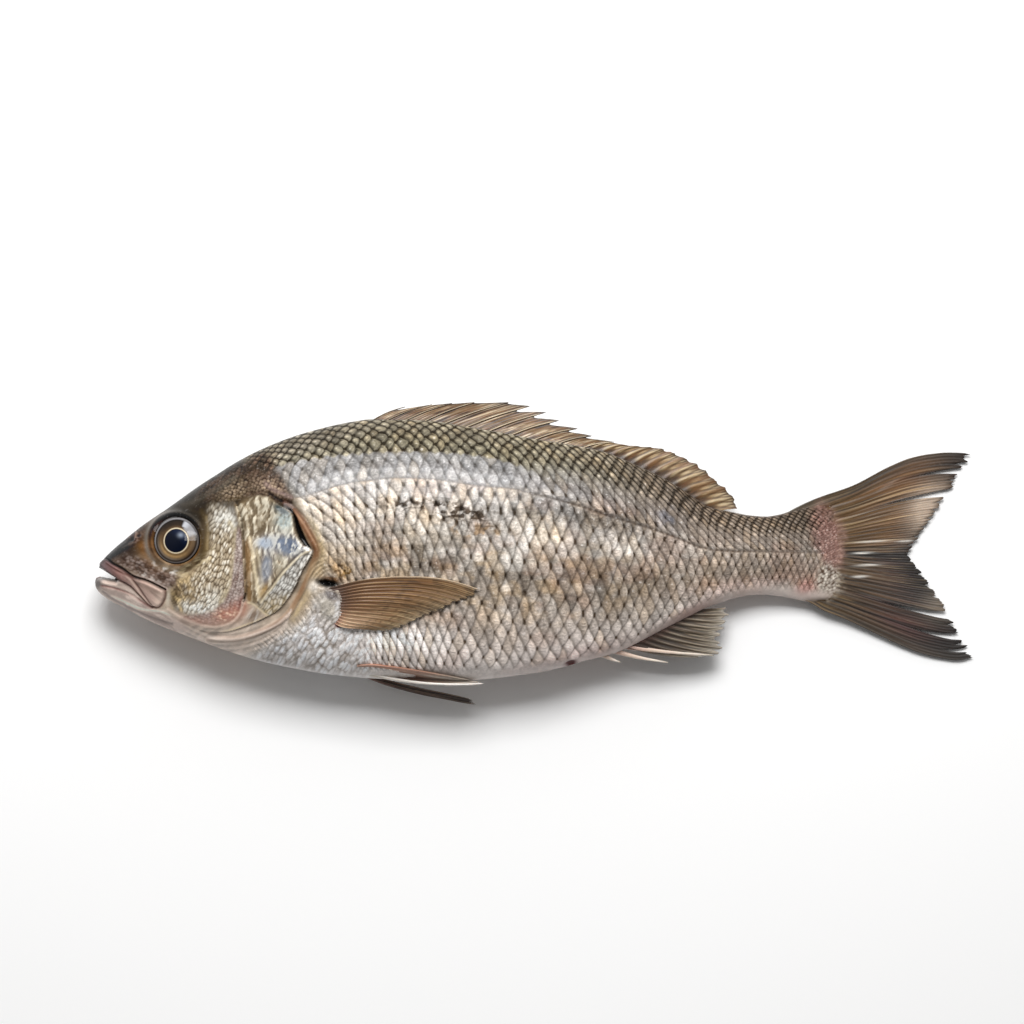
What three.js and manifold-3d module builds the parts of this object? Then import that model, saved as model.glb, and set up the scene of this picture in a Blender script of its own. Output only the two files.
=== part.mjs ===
// A whole raw fish of the sea bream kind, lying on its right flank.
//
// Frame, in millimetres: +X from the snout to the tail, +Y towards the back, +Z up from the
// surface the fish lies on. The origin is at the middle of the bounding box, at its base.
// The fish is one solid: trunk, head with its open mouth and raised gill covers, eyes and fins
// are all one piece, as on the real animal.
//
// Every shape is first worked out on an upright fish, as a point (x, y, side), where side is
// the distance from the fish's middle plane, positive on the flank that faces up. lay() then
// puts it down: the middle plane sinks towards the tail, as a limp fish's does.

import * as THREE from "three";
import { mergeVertices } from "three/addons/utils/BufferGeometryUtils.js";
import Module from "manifold-3d";

// ---------------------------------------------------------------- driving sizes, mm
const SNOUT_X = -165.6; // tip of the lower jaw
const TRUNK_END_X = 122.6; // end of the scaled tail base, inside the tail fin
const CENTRE_SHIFT = [-1.2, 0.4]; // moves the box's middle to the origin

// Stations along the fish: x, height of the back, height of the belly, half thickness.
const TRUNK = [
  [SNOUT_X, -10.6, -10.6, 0],
  [-165.0, -6.6, -13.3, 4.0],
  [-162.8, -2.1, -16.5, 6.8],
  [-159.3, 1.7, -18.8, 9.0],
  [-154.4, 5.2, -21.0, 11.2],
  [-146.8, 11.5, -24.8, 13.8],
  [-135.3, 19.6, -29.3, 16.4],
  [-120.2, 29.5, -35.2, 19.0],
  [-103.1, 38.9, -40.6, 21.2],
  [-84.2, 46.1, -44.6, 22.5],
  [-61.5, 50.6, -47.4, 22.9],
  [-35.1, 50.0, -48.6, 22.2],
  [-8.7, 45.1, -46.6, 20.4],
  [17.7, 40.2, -40.8, 17.6],
  [40.5, 32.6, -33.7, 14.4],
  [59.6, 22.0, -23.8, 11.4],
  [75.0, 15.9, -17.8, 8.9],
  [88.9, 14.0, -15.6, 7.0],
  [102.1, 14.2, -15.8, 5.2],
  [111.7, 14.0, -14.6, 3.8],
  [118.5, 11.6, -11.0, 2.7],
  [121.6, 6.0, -5.0, 1.8],
  [TRUNK_END_X, 0.4, 0.4, 0],
];
// Height of the middle plane above the surface, along x.
const MIDDLE_PLANE = [
  [-166, 16.0], [-135, 17.6], [-100, 19.0], [0, 19.0], [18, 18.0], [40, 15.5], [60, 12.3],
  [75, 9.7], [89, 7.6], [102, 5.7], [116, 3.9], [140, 2.2], [168, 1.2],
];
const WIDEST_LEVEL = 0.54; // share of the depth at which the trunk is thickest
const BACK_POWER = 1.2; // above 1 the back narrows like a keel
const BELLY_POWER = 1.04;

const FIN_ROOT_THICK = 2.6;
const FIN_EDGE_THICK = 1.1;
const RAY_RELIEF = 0.35; // how far a ray stands out of the web, each side
const EYE_AT = [-132.7, 5.1];
const EYE_RADIUS = 8.6;
const EYE_BULGE = 2.2; // how far the eye stands proud of the head
const GILL_COVER_STEP = 1.1; // height of the gill cover's hind edge above the flank
const LIP_STEP = 0.9; // how far the upper jaw's plate stands out
const REST_TRIM = 0; // what lies below this height is pressed flat

// ---------------------------------------------------------------- small helpers
const mix = (a, b, t) => a + (b - a) * t;
const clamp01 = (t) => Math.min(1, Math.max(0, t));

// Smooth curve through rows [x, v1, v2...]: monotone cubic in each column.
function curveThrough(rows, column) {
  const n = rows.length;
  const xs = rows.map((r) => r[0]);
  const ys = rows.map((r) => r[column]);
  const secant = [];
  for (let i = 0; i < n - 1; i++) secant.push((ys[i + 1] - ys[i]) / (xs[i + 1] - xs[i]));
  const slope = ys.map((_, i) => {
    if (i === 0) return secant[0];
    if (i === n - 1) return secant[n - 2];
    if (secant[i - 1] * secant[i] <= 0) return 0;
    const w1 = 2 * (xs[i + 1] - xs[i]) + (xs[i] - xs[i - 1]);
    const w2 = xs[i + 1] - xs[i] + 2 * (xs[i] - xs[i - 1]);
    return (w1 + w2) / (w1 / secant[i - 1] + w2 / secant[i]);
  });
  return (x) => {
    if (x <= xs[0]) return ys[0];
    if (x >= xs[n - 1]) return ys[n - 1];
    let i = 0;
    while (x > xs[i + 1]) i++;
    const h = xs[i + 1] - xs[i];
    const t = (x - xs[i]) / h;
    return (
      (1 + 2 * t) * (1 - t) * (1 - t) * ys[i] +
      t * (1 - t) * (1 - t) * h * slope[i] +
      t * t * (3 - 2 * t) * ys[i + 1] -
      t * t * (1 - t) * h * slope[i + 1]
    );
  };
}
const backY = curveThrough(TRUNK, 1);
const bellyY = curveThrough(TRUNK, 2);
const halfThick = curveThrough(TRUNK, 3);
const middleZ = curveThrough(MIDDLE_PLANE, 1);

// Half thickness of the trunk at a point of its side view, or 0 outside it.
function flank(x, y) {
  const top = backY(x);
  const bottom = bellyY(x);
  const wide = mix(bottom, top, WIDEST_LEVEL);
  const t = y > wide ? (y - wide) / (top - wide) : (wide - y) / (wide - bottom);
  if (!(t < 1)) return 0;
  return halfThick(x) * Math.pow(1 - t * t, (y > wide ? BACK_POWER : BELLY_POWER) / 2);
}

// Puts a point of the upright fish down on the surface.
function lay(p) {
  return [p[0] + CENTRE_SHIFT[0], p[1] + CENTRE_SHIFT[1], middleZ(p[0]) + p[2]];
}

const wasm = await Module();
wasm.setup();

// A closed geometry with every vertex moved by place(), as a solid.
function solid(geometry, place) {
  const position = geometry.getAttribute("position");
  for (let i = 0; i < position.count; i++) {
    const p = place([position.getX(i), position.getY(i), position.getZ(i)]);
    position.setXYZ(i, p[0], p[1], p[2]);
  }
  const bare = new THREE.BufferGeometry().setAttribute("position", position);
  if (geometry.index) bare.setIndex(geometry.index);
  const merged = mergeVertices(bare, 1e-3);
  const kept = [];
  const index = merged.index.array;
  for (let i = 0; i < index.length; i += 3) {
    const [a, b, c] = [index[i], index[i + 1], index[i + 2]];
    if (a !== b && b !== c && c !== a) kept.push(a, b, c);
  }
  const build = (tris) =>
    new wasm.Manifold(
      new wasm.Mesh({
        numProp: 3,
        vertProperties: merged.attributes.position.array,
        triVerts: new Uint32Array(tris),
      }),
    );
  let made = build(kept);
  if (made.volume() < 0) {
    for (let i = 0; i < kept.length; i += 3) [kept[i + 1], kept[i + 2]] = [kept[i + 2], kept[i + 1]];
    made = build(kept);
  }
  return made;
}

// A slab divided nu by nv and shaped by f(u, v, s): u and v run 0..1, s is -1 or 1 for its faces.
function slab(nu, nv, f) {
  return solid(new THREE.BoxGeometry(1, 1, 1, nu, nv, 1), ([x, y, z]) =>
    lay(f(clamp01(x + 0.5), clamp01(y + 0.5), z > 0 ? 1 : -1)),
  );
}

// ---------------------------------------------------------------- trunk and head
function trunk(around, along) {
  return solid(new THREE.SphereGeometry(1, around, along), ([px, py, pz]) => {
    const turn = Math.acos(Math.max(-1, Math.min(1, py))) / Math.PI;
    const x = mix(SNOUT_X, TRUNK_END_X, mix(turn, (1 - Math.cos(Math.PI * turn)) / 2, 0.3));
    const angle = Math.atan2(pz, -px);
    const up = Math.sin(angle);
    const out = Math.cos(angle);
    const top = backY(x);
    const bottom = bellyY(x);
    const wide = mix(bottom, top, WIDEST_LEVEL);
    const y = wide + (up > 0 ? top - wide : wide - bottom) * up;
    const power = up > 0 ? BACK_POWER : BELLY_POWER;
    const side = halfThick(x) * Math.sign(out) * Math.pow(Math.abs(out), power);
    return lay([x, y, side]);
  });
}

// ---------------------------------------------------------------- fins
// A fin is a fan of rays. rays: [{base: [x, y], tip: [x, y], bow}], bow lifts a ray's middle
// off its straight line, and a bowSkew above 1 moves the highest point of the bow to the tip.
// web is how far the web's edge falls short of the tips between rays.
function fin(rays, { web, along, side, rootThick = FIN_ROOT_THICK, edgeThick = FIN_EDGE_THICK, bowSkew = 1 }) {
  const n = rays.length - 1;
  return slab(n * 2, along, (u, v, s) => {
    const at = u * n;
    const i = Math.min(n - 1, Math.floor(at + 1e-9));
    const t = at - i;
    const between = Math.abs(t - 0.5) < 0.25;
    const [a, b] = [rays[i], rays[i + 1]];
    const base = [mix(a.base[0], b.base[0], t), mix(a.base[1], b.base[1], t)];
    const tip = [mix(a.tip[0], b.tip[0], t), mix(a.tip[1], b.tip[1], t)];
    const reach = between ? 1 - web(i / n) : 1;
    const r = v * reach;
    const bow = mix(a.bow || 0, b.bow || 0, t) * Math.sin(Math.PI * Math.pow(r, bowSkew));
    const d = [tip[0] - base[0], tip[1] - base[1]];
    const long = Math.hypot(d[0], d[1]) || 1;
    const x = base[0] + d[0] * r - (d[1] / long) * bow;
    const y = base[1] + d[1] * r + (d[0] / long) * bow;
    const half = mix(rootThick, edgeThick, Math.pow(v, 0.7)) / 2 + (between ? -RAY_RELIEF / 2 : RAY_RELIEF / 2);
    return [x, y, side(x, y, v) + s * half];
  });
}

const spread = (n, f) => Array.from({ length: n }, (_, i) => f(i / (n - 1), i));

// Tail fin: two lobes round a fork.
const TAIL_RAYS = 19;
const TAIL_ROOT = { x: 91, up: 13.4, down: 15.2, bulge: 21 };
const TAIL_TIP_UP = [167.6, 37.2];
const TAIL_TIP_DOWN = [168.0, -39.6];
const TAIL_FORK = [143.9, -0.8];
const TAIL_BOW = 5.8;
const tailRays = spread(TAIL_RAYS, (t, i) => {
  const a = 1 - 2 * t; // 1 at the upper edge, -1 at the lower
  const tip = a > 0 ? TAIL_TIP_UP : TAIL_TIP_DOWN;
  const k = Math.abs(a);
  const ragged = i % 2 ? 0.8 : -0.4;
  return {
    base: [TAIL_ROOT.x + TAIL_ROOT.bulge * (1 - k * k), (a > 0 ? TAIL_ROOT.up : TAIL_ROOT.down) * a],
    tip: [mix(TAIL_FORK[0], tip[0], k) + ragged, mix(TAIL_FORK[1], tip[1], k)],
    bow: TAIL_BOW * Math.sign(a) * Math.pow(k, 2.5),
  };
});
const tail = fin(tailRays, { web: () => 0.012, along: 7, side: () => 0, rootThick: 3.0, bowSkew: 1.5 });

// Back fin: spines that lean back with notches between, then soft rays.
const SPINES = 11;
const SPINE_BASE_X = [-61.5, 23.0];
const SPINE_TIPS = [
  [-61.5, -48.3, 55.3], [-36, -23.0, 57.6], [-28, -9.2, 57.4], [-11.3, 4.9, 53.2], [6, 16.7, 47.2], [23, 31.0, 42.2],
]; // base x, tip x, tip y
const SOFT_RAYS = 11;
const SOFT_BASE_X = [30.0, 66.0];
const SOFT_TIPS = [
  [0, 44.0, 40.6], [0.2, 54.5, 37.6], [0.45, 65.0, 31.8], [0.75, 73.5, 24.2], [1, 77.4, 17.8],
]; // share of the rays, tip x, tip y
const spineTipX = curveThrough(SPINE_TIPS, 1);
const spineTipY = curveThrough(SPINE_TIPS, 2);
const softTipX = curveThrough(SOFT_TIPS, 1);
const softTipY = curveThrough(SOFT_TIPS, 2);
const FIN_SINK = 3.0; // how deep a fin's root sits in the back or belly
const backRays = [
  ...spread(SPINES, (t) => {
    const x = mix(SPINE_BASE_X[0], SPINE_BASE_X[1], t);
    return { base: [x, backY(x) - FIN_SINK], tip: [spineTipX(x), spineTipY(x)], spine: true };
  }),
  ...spread(SOFT_RAYS, (t) => {
    const x = mix(SOFT_BASE_X[0], SOFT_BASE_X[1], t);
    return { base: [x, backY(x) - FIN_SINK], tip: [softTipX(t), softTipY(t)], bow: 0.8 * (1 - t) };
  }),
];
const backFin = fin(backRays, {
  web: (at) => (at * (backRays.length - 1) < SPINES - 1.5 ? 0.2 : 0.03),
  along: 3,
  side: () => 0,
  rootThick: 3.4,
});

// Anal fin: three spines, then soft rays.
const ANAL_RAYS = [
  [25.3, 33.2, -41.2], [31.8, 51.4, -41.6], [36.6, 68.8, -38.6], [39.5, 74.4, -35.8], [42.5, 72.6, -33.2],
  [45.6, 72.8, -30.4], [49.0, 73.9, -27.4], [52.6, 74.6, -24.4], [58.7, 75.6, -20.9],
]; // base x, tip x, tip y
const analFin = fin(
  ANAL_RAYS.map(([x, tx, ty]) => ({ base: [x, bellyY(x) + FIN_SINK], tip: [tx, ty], bow: 0 })),
  { web: (at) => (at < 0.3 ? 0.3 : 0.05), along: 3, side: () => 0, rootThick: 3.0 },
);

// Breast fin, one on each flank: a fan that lies back along the flank.
const BREAST_RAYS = 13;
const BREAST_ROOT = { from: [-80.0, -14.2], to: [-73.5, -25.8] };
const BREAST_TIPS = [
  [0, -20.6, -14.0], [0.12, -26.5, -16.2], [0.35, -37.5, -21.4], [0.6, -48.0, -26.8], [0.8, -58.0, -28.8], [1, -69.0, -27.2],
];
const breastTipX = curveThrough(BREAST_TIPS, 1);
const breastTipY = curveThrough(BREAST_TIPS, 2);
const breastRays = spread(BREAST_RAYS, (t) => ({
  base: [mix(BREAST_ROOT.from[0], BREAST_ROOT.to[0], t), mix(BREAST_ROOT.from[1], BREAST_ROOT.to[1], t)],
  tip: [breastTipX(t), breastTipY(t)],
  bow: mix(5.2, -0.8, Math.sqrt(t)),
}));
function breastFin(up) {
  // The fin leaves the flank at its root and lies a little off it further back.
  return fin(breastRays, {
    web: () => 0.03,
    along: 5,
    side: (x, y, v) => up * (flank(x, y) + mix(-1.0, 0.5, clamp01(v * 4)) ),
    rootThick: 3.0,
  });
}

// Belly fin, one on each side of the belly, folded back: a stout spine and five rays.
const BELLY_FIN_RAYS = 5;
function bellyFin(up, root, tipOuter, tipInner) {
  const rays = spread(BELLY_FIN_RAYS, (t) => ({
    base: [mix(root[0], root[0] + 4, t), mix(root[1], root[1] + 2.2, t)],
    tip: [mix(tipOuter[0], tipInner[0], t), mix(tipOuter[1], tipInner[1], t)],
    bow: -1.2,
  }));
  return fin(rays, {
    web: () => 0.05,
    along: 5,
    side: (x, y, v) => up * mix(5.5, up > 0 ? 7.0 : 9.0, v),
    rootThick: 3.2,
    edgeThick: 1.3,
  });
}

// ---------------------------------------------------------------- head details
// Gill cover: a plate whose front lies under the skin and whose hind edge stands proud.
const COVER_EDGE = [
  [0, -104.0, 24.5], [0.2, -93.5, 15.5], [0.36, -87.6, 6.8], [0.48, -82.6, 1.4], [0.6, -86.6, -6.0],
  [0.78, -94.5, -18.0], [1, -107.0, -27.5],
]; // share of the edge from top to bottom, x, y
const coverX = curveThrough(COVER_EDGE, 1);
const coverY = curveThrough(COVER_EDGE, 2);
const COVER_DEPTH = 16; // from the hind edge forward to where it meets the skin
function gillCover(up) {
  return slab(14, 3, (u, v, s) => {
    const x = coverX(u) - COVER_DEPTH * (1 - v);
    const y = coverY(u) * mix(0.94, 1, v);
    const lift = mix(-1.2, GILL_COVER_STEP, v) * Math.sin(Math.PI * mix(0.08, 0.92, u)) ** 0.4;
    const outer = flank(x, y) + lift;
    return [x, y, up * (s > 0 ? outer : outer - 5)];
  });
}
// Gill slit: the gap that opens behind the upper part of the cover's edge.
const SLIT_WIDE = 3.2;
const SLIT_DEEP = 3.6;
const SLIT_SPAN = [0.12, 0.47]; // share of the cover's edge
function gillSlit(up) {
  return slab(8, 1, (u, v, s) => {
    const at = mix(SLIT_SPAN[0], SLIT_SPAN[1], u);
    const open = SLIT_WIDE * Math.sin(Math.PI * mix(0.06, 0.94, u));
    const x = coverX(at) + mix(-1.0, open, v);
    const y = coverY(at) + mix(0, open * 0.45, v);
    return [x, y, up * (flank(x, y) + (s > 0 ? 4 : -SLIT_DEEP * mix(1, 0.35, v)))];
  });
}
// Cheek plate: its hind and lower edge makes a faint step before the gill cover.
const CHEEK_EDGE = [
  [0, -113.0, 16.0], [0.3, -109.6, 6.5], [0.55, -107.6, -8.0], [0.7, -110.2, -17.0], [0.85, -118.0, -22.6], [1, -131.0, -24.8],
]; // share of the edge from top to bottom, x, y
const CHEEK_STEP = 0.5;
const cheekX = curveThrough(CHEEK_EDGE, 1);
const cheekY = curveThrough(CHEEK_EDGE, 2);
const CHEEK_MIDDLE = [-126, -6];
function cheek(up) {
  return slab(10, 2, (u, v, s) => {
    const x = mix(mix(cheekX(u), CHEEK_MIDDLE[0], 0.45), cheekX(u), v);
    const y = mix(mix(cheekY(u), CHEEK_MIDDLE[1], 0.45), cheekY(u), v);
    const outer = flank(x, y) + mix(-0.9, CHEEK_STEP, v);
    return [x, y, up * (s > 0 ? outer : outer - 4)];
  });
}

// Upper jaw: a plate from the tip of the snout, widening to its blunt hind end.
const JAW_TOP = [[0, -163.2, -3.6], [0.4, -153.0, -6.2], [1, -139.4, -13.2]];
const JAW_BOTTOM = [[0, -163.6, -5.6], [0.4, -154.2, -10.6], [1, -143.0, -20.6]];
const jawTop = [curveThrough(JAW_TOP, 1), curveThrough(JAW_TOP, 2)];
const jawBottom = [curveThrough(JAW_BOTTOM, 1), curveThrough(JAW_BOTTOM, 2)];
function upperJaw(up) {
  return slab(8, 2, (u, v, s) => {
    const round = 1.6 * 4 * v * (1 - v) * Math.pow(u, 4);
    const x = mix(jawBottom[0](u), jawTop[0](u), v) + round;
    const y = mix(jawBottom[1](u), jawTop[1](u), v) - round * 0.5;
    const outer = Math.max(flank(x, y), 3.2) + LIP_STEP * mix(0.5, 1, u);
    return [x, y, up * (s > 0 ? outer : outer - 4)];
  });
}

// The open mouth: a wedge through the snout, with its corner inside the lips.
const MOUTH_CORNER = [-156.2, -10.2];
const MOUTH_FRONT = { x: -172, top: -3.2, bottom: -8.6 };
function mouth() {
  return slab(4, 1, (u, v, s) => {
    const x = mix(MOUTH_CORNER[0], MOUTH_FRONT.x, u);
    const top = mix(MOUTH_CORNER[1] + 0.3, MOUTH_FRONT.top, Math.pow(u, 0.9));
    const bottom = mix(MOUTH_CORNER[1] - 0.3, MOUTH_FRONT.bottom, Math.pow(u, 1.3));
    return [x, mix(bottom, top, v), s * 30];
  });
}

function eye(up) {
  return solid(new THREE.SphereGeometry(1, 18, 12), ([x, y, z]) =>
    lay([
      EYE_AT[0] + x * EYE_RADIUS,
      EYE_AT[1] + y * EYE_RADIUS,
      up * (flank(EYE_AT[0], EYE_AT[1]) - 3.4) + z * (3.4 + EYE_BULGE),
    ]),
  );
}

// ---------------------------------------------------------------- the whole fish
let fish = trunk(28, 42);
for (const up of [1, -1]) fish = fish.subtract(gillSlit(up)).add(gillCover(up)).add(cheek(up)).add(upperJaw(up));
fish = fish.subtract(mouth());
for (const up of [1, -1]) fish = fish.add(eye(up)).add(breastFin(up));
fish = fish.add(tail).add(backFin).add(analFin);
fish = fish
  .add(bellyFin(1, [-70, -43.6], [-18.6, -48.8], [-27, -45.2]))
  .add(bellyFin(-1, [-66, -46.4], [-20.6, -58.2], [-25, -54.4]));

// What would sink into the surface is pressed flat.
const press = solid(new THREE.BoxGeometry(500, 300, 60), ([x, y, z]) => [x, y, z - 30 + REST_TRIM]);
fish = fish.subtract(press);

// Small leftovers of the cuts are dropped, and the main body is kept.
const bodies = fish.decompose().sort((a, b) => b.volume() - a.volume());
fish = bodies[0];

const mesh = fish.getMesh();
const points = new Float32Array(mesh.numVert * 3);
for (let i = 0; i < mesh.numVert; i++)
  points.set(mesh.vertProperties.subarray(i * mesh.numProp, i * mesh.numProp + 3), i * 3);
const geometry = new THREE.BufferGeometry()
  .setAttribute("position", new THREE.BufferAttribute(points, 3))
  .setIndex(new THREE.BufferAttribute(new Uint32Array(mesh.triVerts), 1));
geometry.computeVertexNormals();

const skin = new THREE.MeshStandardMaterial({ color: 0xa89c88, roughness: 0.32, metalness: 0.15 });
const body = new THREE.Mesh(geometry, skin);
body.name = "fish";

const root = new THREE.Group();
root.add(body);
export default root;
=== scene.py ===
import math

import bpy
import numpy as np
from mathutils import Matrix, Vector


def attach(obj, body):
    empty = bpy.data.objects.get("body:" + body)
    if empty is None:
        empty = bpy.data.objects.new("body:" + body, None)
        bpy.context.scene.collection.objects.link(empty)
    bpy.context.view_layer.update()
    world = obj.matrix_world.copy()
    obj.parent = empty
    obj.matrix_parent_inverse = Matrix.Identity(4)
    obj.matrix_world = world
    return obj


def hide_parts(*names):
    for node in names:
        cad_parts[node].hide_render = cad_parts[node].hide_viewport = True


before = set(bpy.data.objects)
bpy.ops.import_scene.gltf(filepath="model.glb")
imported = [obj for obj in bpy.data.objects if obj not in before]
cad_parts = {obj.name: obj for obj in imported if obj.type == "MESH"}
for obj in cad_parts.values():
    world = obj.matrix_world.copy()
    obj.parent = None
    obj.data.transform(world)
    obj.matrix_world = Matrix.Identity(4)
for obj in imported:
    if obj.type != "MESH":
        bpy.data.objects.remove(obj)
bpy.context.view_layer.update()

# =====================================================================================
# Frame. Work is in millimetres of the fish's side view; put() moves it to the row frame.
# View units: one view unit is what one pixel of a 1024 frame covers; features of the skin
# are placed in them, so that they line up with the camera whatever the surface does.
# =====================================================================================
MM = 0.001
SHIFT = (-1.2, 0.4)
UNIT = 330.0 / 874.0
VIEW_C = (533.0, 553.5)
LENS, SENSOR = 100.0, 36.0
DIST = 386.6 * LENS / SENSOR
FOCUS_Z = 19.0
CAM = ((512 - VIEW_C[0]) * UNIT, (VIEW_C[1] - 512) * UNIT, FOCUS_Z + DIST)


def to_view(x, y, z):
    k = DIST / (DIST + FOCUS_Z - z)
    return 512 + (x - CAM[0]) / UNIT * k, 512 - (y - CAM[1]) / UNIT * k


def from_view(px, py, z):
    k = (DIST + FOCUS_Z - z) / DIST
    return CAM[0] + (px - 512) * UNIT * k, CAM[1] + (512 - py) * UNIT * k


# ------------------------------------------------------------------------- small maths
def lin(r, g, b):
    c = np.array([r, g, b], float) / 255.0
    return np.where(c <= 0.04045, c / 12.92, ((c + 0.055) / 1.055) ** 2.4)


def sstep(a, b, x):
    t = np.clip((x - a) / (b - a), 0.0, 1.0)
    return t * t * (3 - 2 * t)


def lerp(a, b, t):
    return a + (b - a) * t


class Curve:
    """Monotone cubic through (x, y) rows."""

    def __init__(self, rows, column=1):
        rows = np.asarray(rows, float)
        self.x, self.y = rows[:, 0], rows[:, column]
        h = np.diff(self.x)
        s = np.diff(self.y) / h
        m = np.zeros(len(self.x))
        m[0], m[-1] = s[0], s[-1]
        for i in range(1, len(m) - 1):
            if s[i - 1] * s[i] > 0:
                w1, w2 = 2 * h[i] + h[i - 1], h[i] + 2 * h[i - 1]
                m[i] = (w1 + w2) / (w1 / s[i - 1] + w2 / s[i])
        self.m = m

    def __call__(self, q):
        q = np.clip(np.asarray(q, float), self.x[0], self.x[-1])
        i = np.clip(np.searchsorted(self.x, q, side="right") - 1, 0, len(self.x) - 2)
        h = self.x[i + 1] - self.x[i]
        t = (q - self.x[i]) / h
        u = 1 - t
        return (1 + 2 * t) * u * u * self.y[i] + t * u * u * h * self.m[i] + t * t * (3 - 2 * t) * self.y[i + 1] - t * t * u * h * self.m[i + 1]


class Path:
    """Smooth curve through points, read by its length fraction 0..1."""

    def __init__(self, pts):
        pts = np.asarray(pts, float)
        s = np.concatenate([[0], np.cumsum(np.hypot(*np.diff(pts, axis=0).T))])
        s /= s[-1]
        self.cx, self.cy = Curve(np.c_[s, pts[:, 0]]), Curve(np.c_[s, pts[:, 1]])

    def __call__(self, t):
        return self.cx(t), self.cy(t)


def hash01(ix, iy, seed):
    a = ix.astype(np.int64).astype(np.uint64) * np.uint64(374761393)
    b = iy.astype(np.int64).astype(np.uint64) * np.uint64(668265263)
    h = (a + b + np.uint64(seed * 974711 + 12345)) & np.uint64(0xFFFFFFFF)
    h = ((h ^ (h >> np.uint64(13))) * np.uint64(1274126177)) & np.uint64(0xFFFFFFFF)
    h = ((h ^ (h >> np.uint64(16))) * np.uint64(2246822519)) & np.uint64(0xFFFFFFFF)
    return ((h ^ (h >> np.uint64(15))) & np.uint64(0xFFFFFF)).astype(float) / 16777215.0


def vnoise(x, y, seed):
    ix, iy = np.floor(x), np.floor(y)
    fx, fy = x - ix, y - iy
    fx, fy = fx * fx * (3 - 2 * fx), fy * fy * (3 - 2 * fy)
    a, b = hash01(ix, iy, seed), hash01(ix + 1, iy, seed)
    c, d = hash01(ix, iy + 1, seed), hash01(ix + 1, iy + 1, seed)
    return lerp(lerp(a, b, fx), lerp(c, d, fx), fy)


def fbm(x, y, seed, octaves=3):
    total, weight, out = 0.0, 1.0, 0.0
    for k in range(octaves):
        out = out + weight * vnoise(x * 2**k, y * 2**k, seed + 17 * k)
        total += weight
        weight *= 0.5
    return out / total


def cells(x, y, seed, jitter=0.8):
    """Distance to the nearest cell's centre, to the border with the next, and its random."""
    ix, iy = np.floor(x), np.floor(y)
    f1 = np.full(x.shape, 9.0)
    f2 = np.full(x.shape, 9.0)
    rid = np.zeros(x.shape)
    for dx in (-1, 0, 1):
        for dy in (-1, 0, 1):
            cx, cy = ix + dx, iy + dy
            ox = cx + 0.5 + (hash01(cx, cy, seed) - 0.5) * jitter
            oy = cy + 0.5 + (hash01(cx, cy, seed + 5) - 0.5) * jitter
            d = np.hypot(x - ox, y - oy)
            near = d < f1
            f2 = np.where(near, f1, np.minimum(f2, d))
            rid = np.where(near, hash01(cx, cy, seed + 9), rid)
            f1 = np.where(near, d, f1)
    return f1, f2 - f1, rid


def rounded(pts, n=5):
    """The polyline with its corners rounded, by a spline through its points."""
    q = np.asarray(pts, float)
    if len(q) < 4:
        return q
    ext = np.vstack([2 * q[0] - q[1], q, 2 * q[-1] - q[-2]])
    out = []
    for i in range(1, len(ext) - 2):
        a, b, c, d = ext[i - 1], ext[i], ext[i + 1], ext[i + 2]
        for t in np.linspace(0, 1, n, endpoint=False):
            out.append(0.5 * (2 * b + (c - a) * t + (2 * a - 5 * b + 4 * c - d) * t * t + (3 * b - a - 3 * c + d) * t**3))
    out.append(ext[-2])
    return np.array(out)


def seg(px, py, pts, smooth=False):
    """Distance to a polyline, side (positive on its right, as drawn), fraction along it."""
    pts = rounded(pts) if smooth else np.asarray(pts, float)
    cum = np.concatenate([[0], np.cumsum(np.hypot(*np.diff(pts, axis=0).T))])
    best = np.full(px.shape, 1e9)
    side = np.zeros(px.shape)
    frac = np.zeros(px.shape)
    for i in range(len(pts) - 1):
        ax, ay = pts[i]
        bx, by = pts[i + 1] - pts[i]
        ll = bx * bx + by * by
        t = np.clip(((px - ax) * bx + (py - ay) * by) / ll, 0, 1)
        ex, ey = px - ax - t * bx, py - ay - t * by
        d = np.hypot(ex, ey)
        near = d < best
        best = np.where(near, d, best)
        side = np.where(near, np.sign(bx * (py - ay) - by * (px - ax)), side)
        frac = np.where(near, (cum[i] + t * math.sqrt(ll)) / cum[-1], frac)
    return best, side, frac


def poly_sd(px, py, pts):
    """Signed distance to a polygon, negative inside."""
    pts = np.asarray(pts, float)
    d = seg(px, py, np.vstack([pts, pts[:1]]))[0]
    inside = np.zeros(px.shape, bool)
    n = len(pts)
    for i in range(n):
        x1, y1 = pts[i]
        x2, y2 = pts[(i + 1) % n]
        cross = ((y1 > py) != (y2 > py)) & (px < (x2 - x1) * (py - y1) / ((y2 - y1) if y2 != y1 else 1e-9) + x1)
        inside ^= cross
    return np.where(inside, -d, d)


def blob(px, py, cx, cy, rx, ry, turn=0.0):
    c, s = math.cos(math.radians(turn)), math.sin(math.radians(turn))
    dx, dy = px - cx, py - cy
    return np.exp(-(((dx * c + dy * s) / rx) ** 2 + ((-dx * s + dy * c) / ry) ** 2))


# =====================================================================================
# The fish's outline and thickness
# =====================================================================================
MIDDLE_PLANE = [(-166, 16.0), (-135, 17.6), (-100, 19.0), (0, 19.0), (18, 18.0), (40, 15.5), (60, 12.3), (75, 9.7), (89, 7.6), (102, 5.7), (116, 3.9), (140, 2.2), (168, 1.2)]
middle_z = Curve(MIDDLE_PLANE)
NOSE_V, ROOT_V = 95.2, 852.0  # first and last column of the skin, view units

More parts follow.
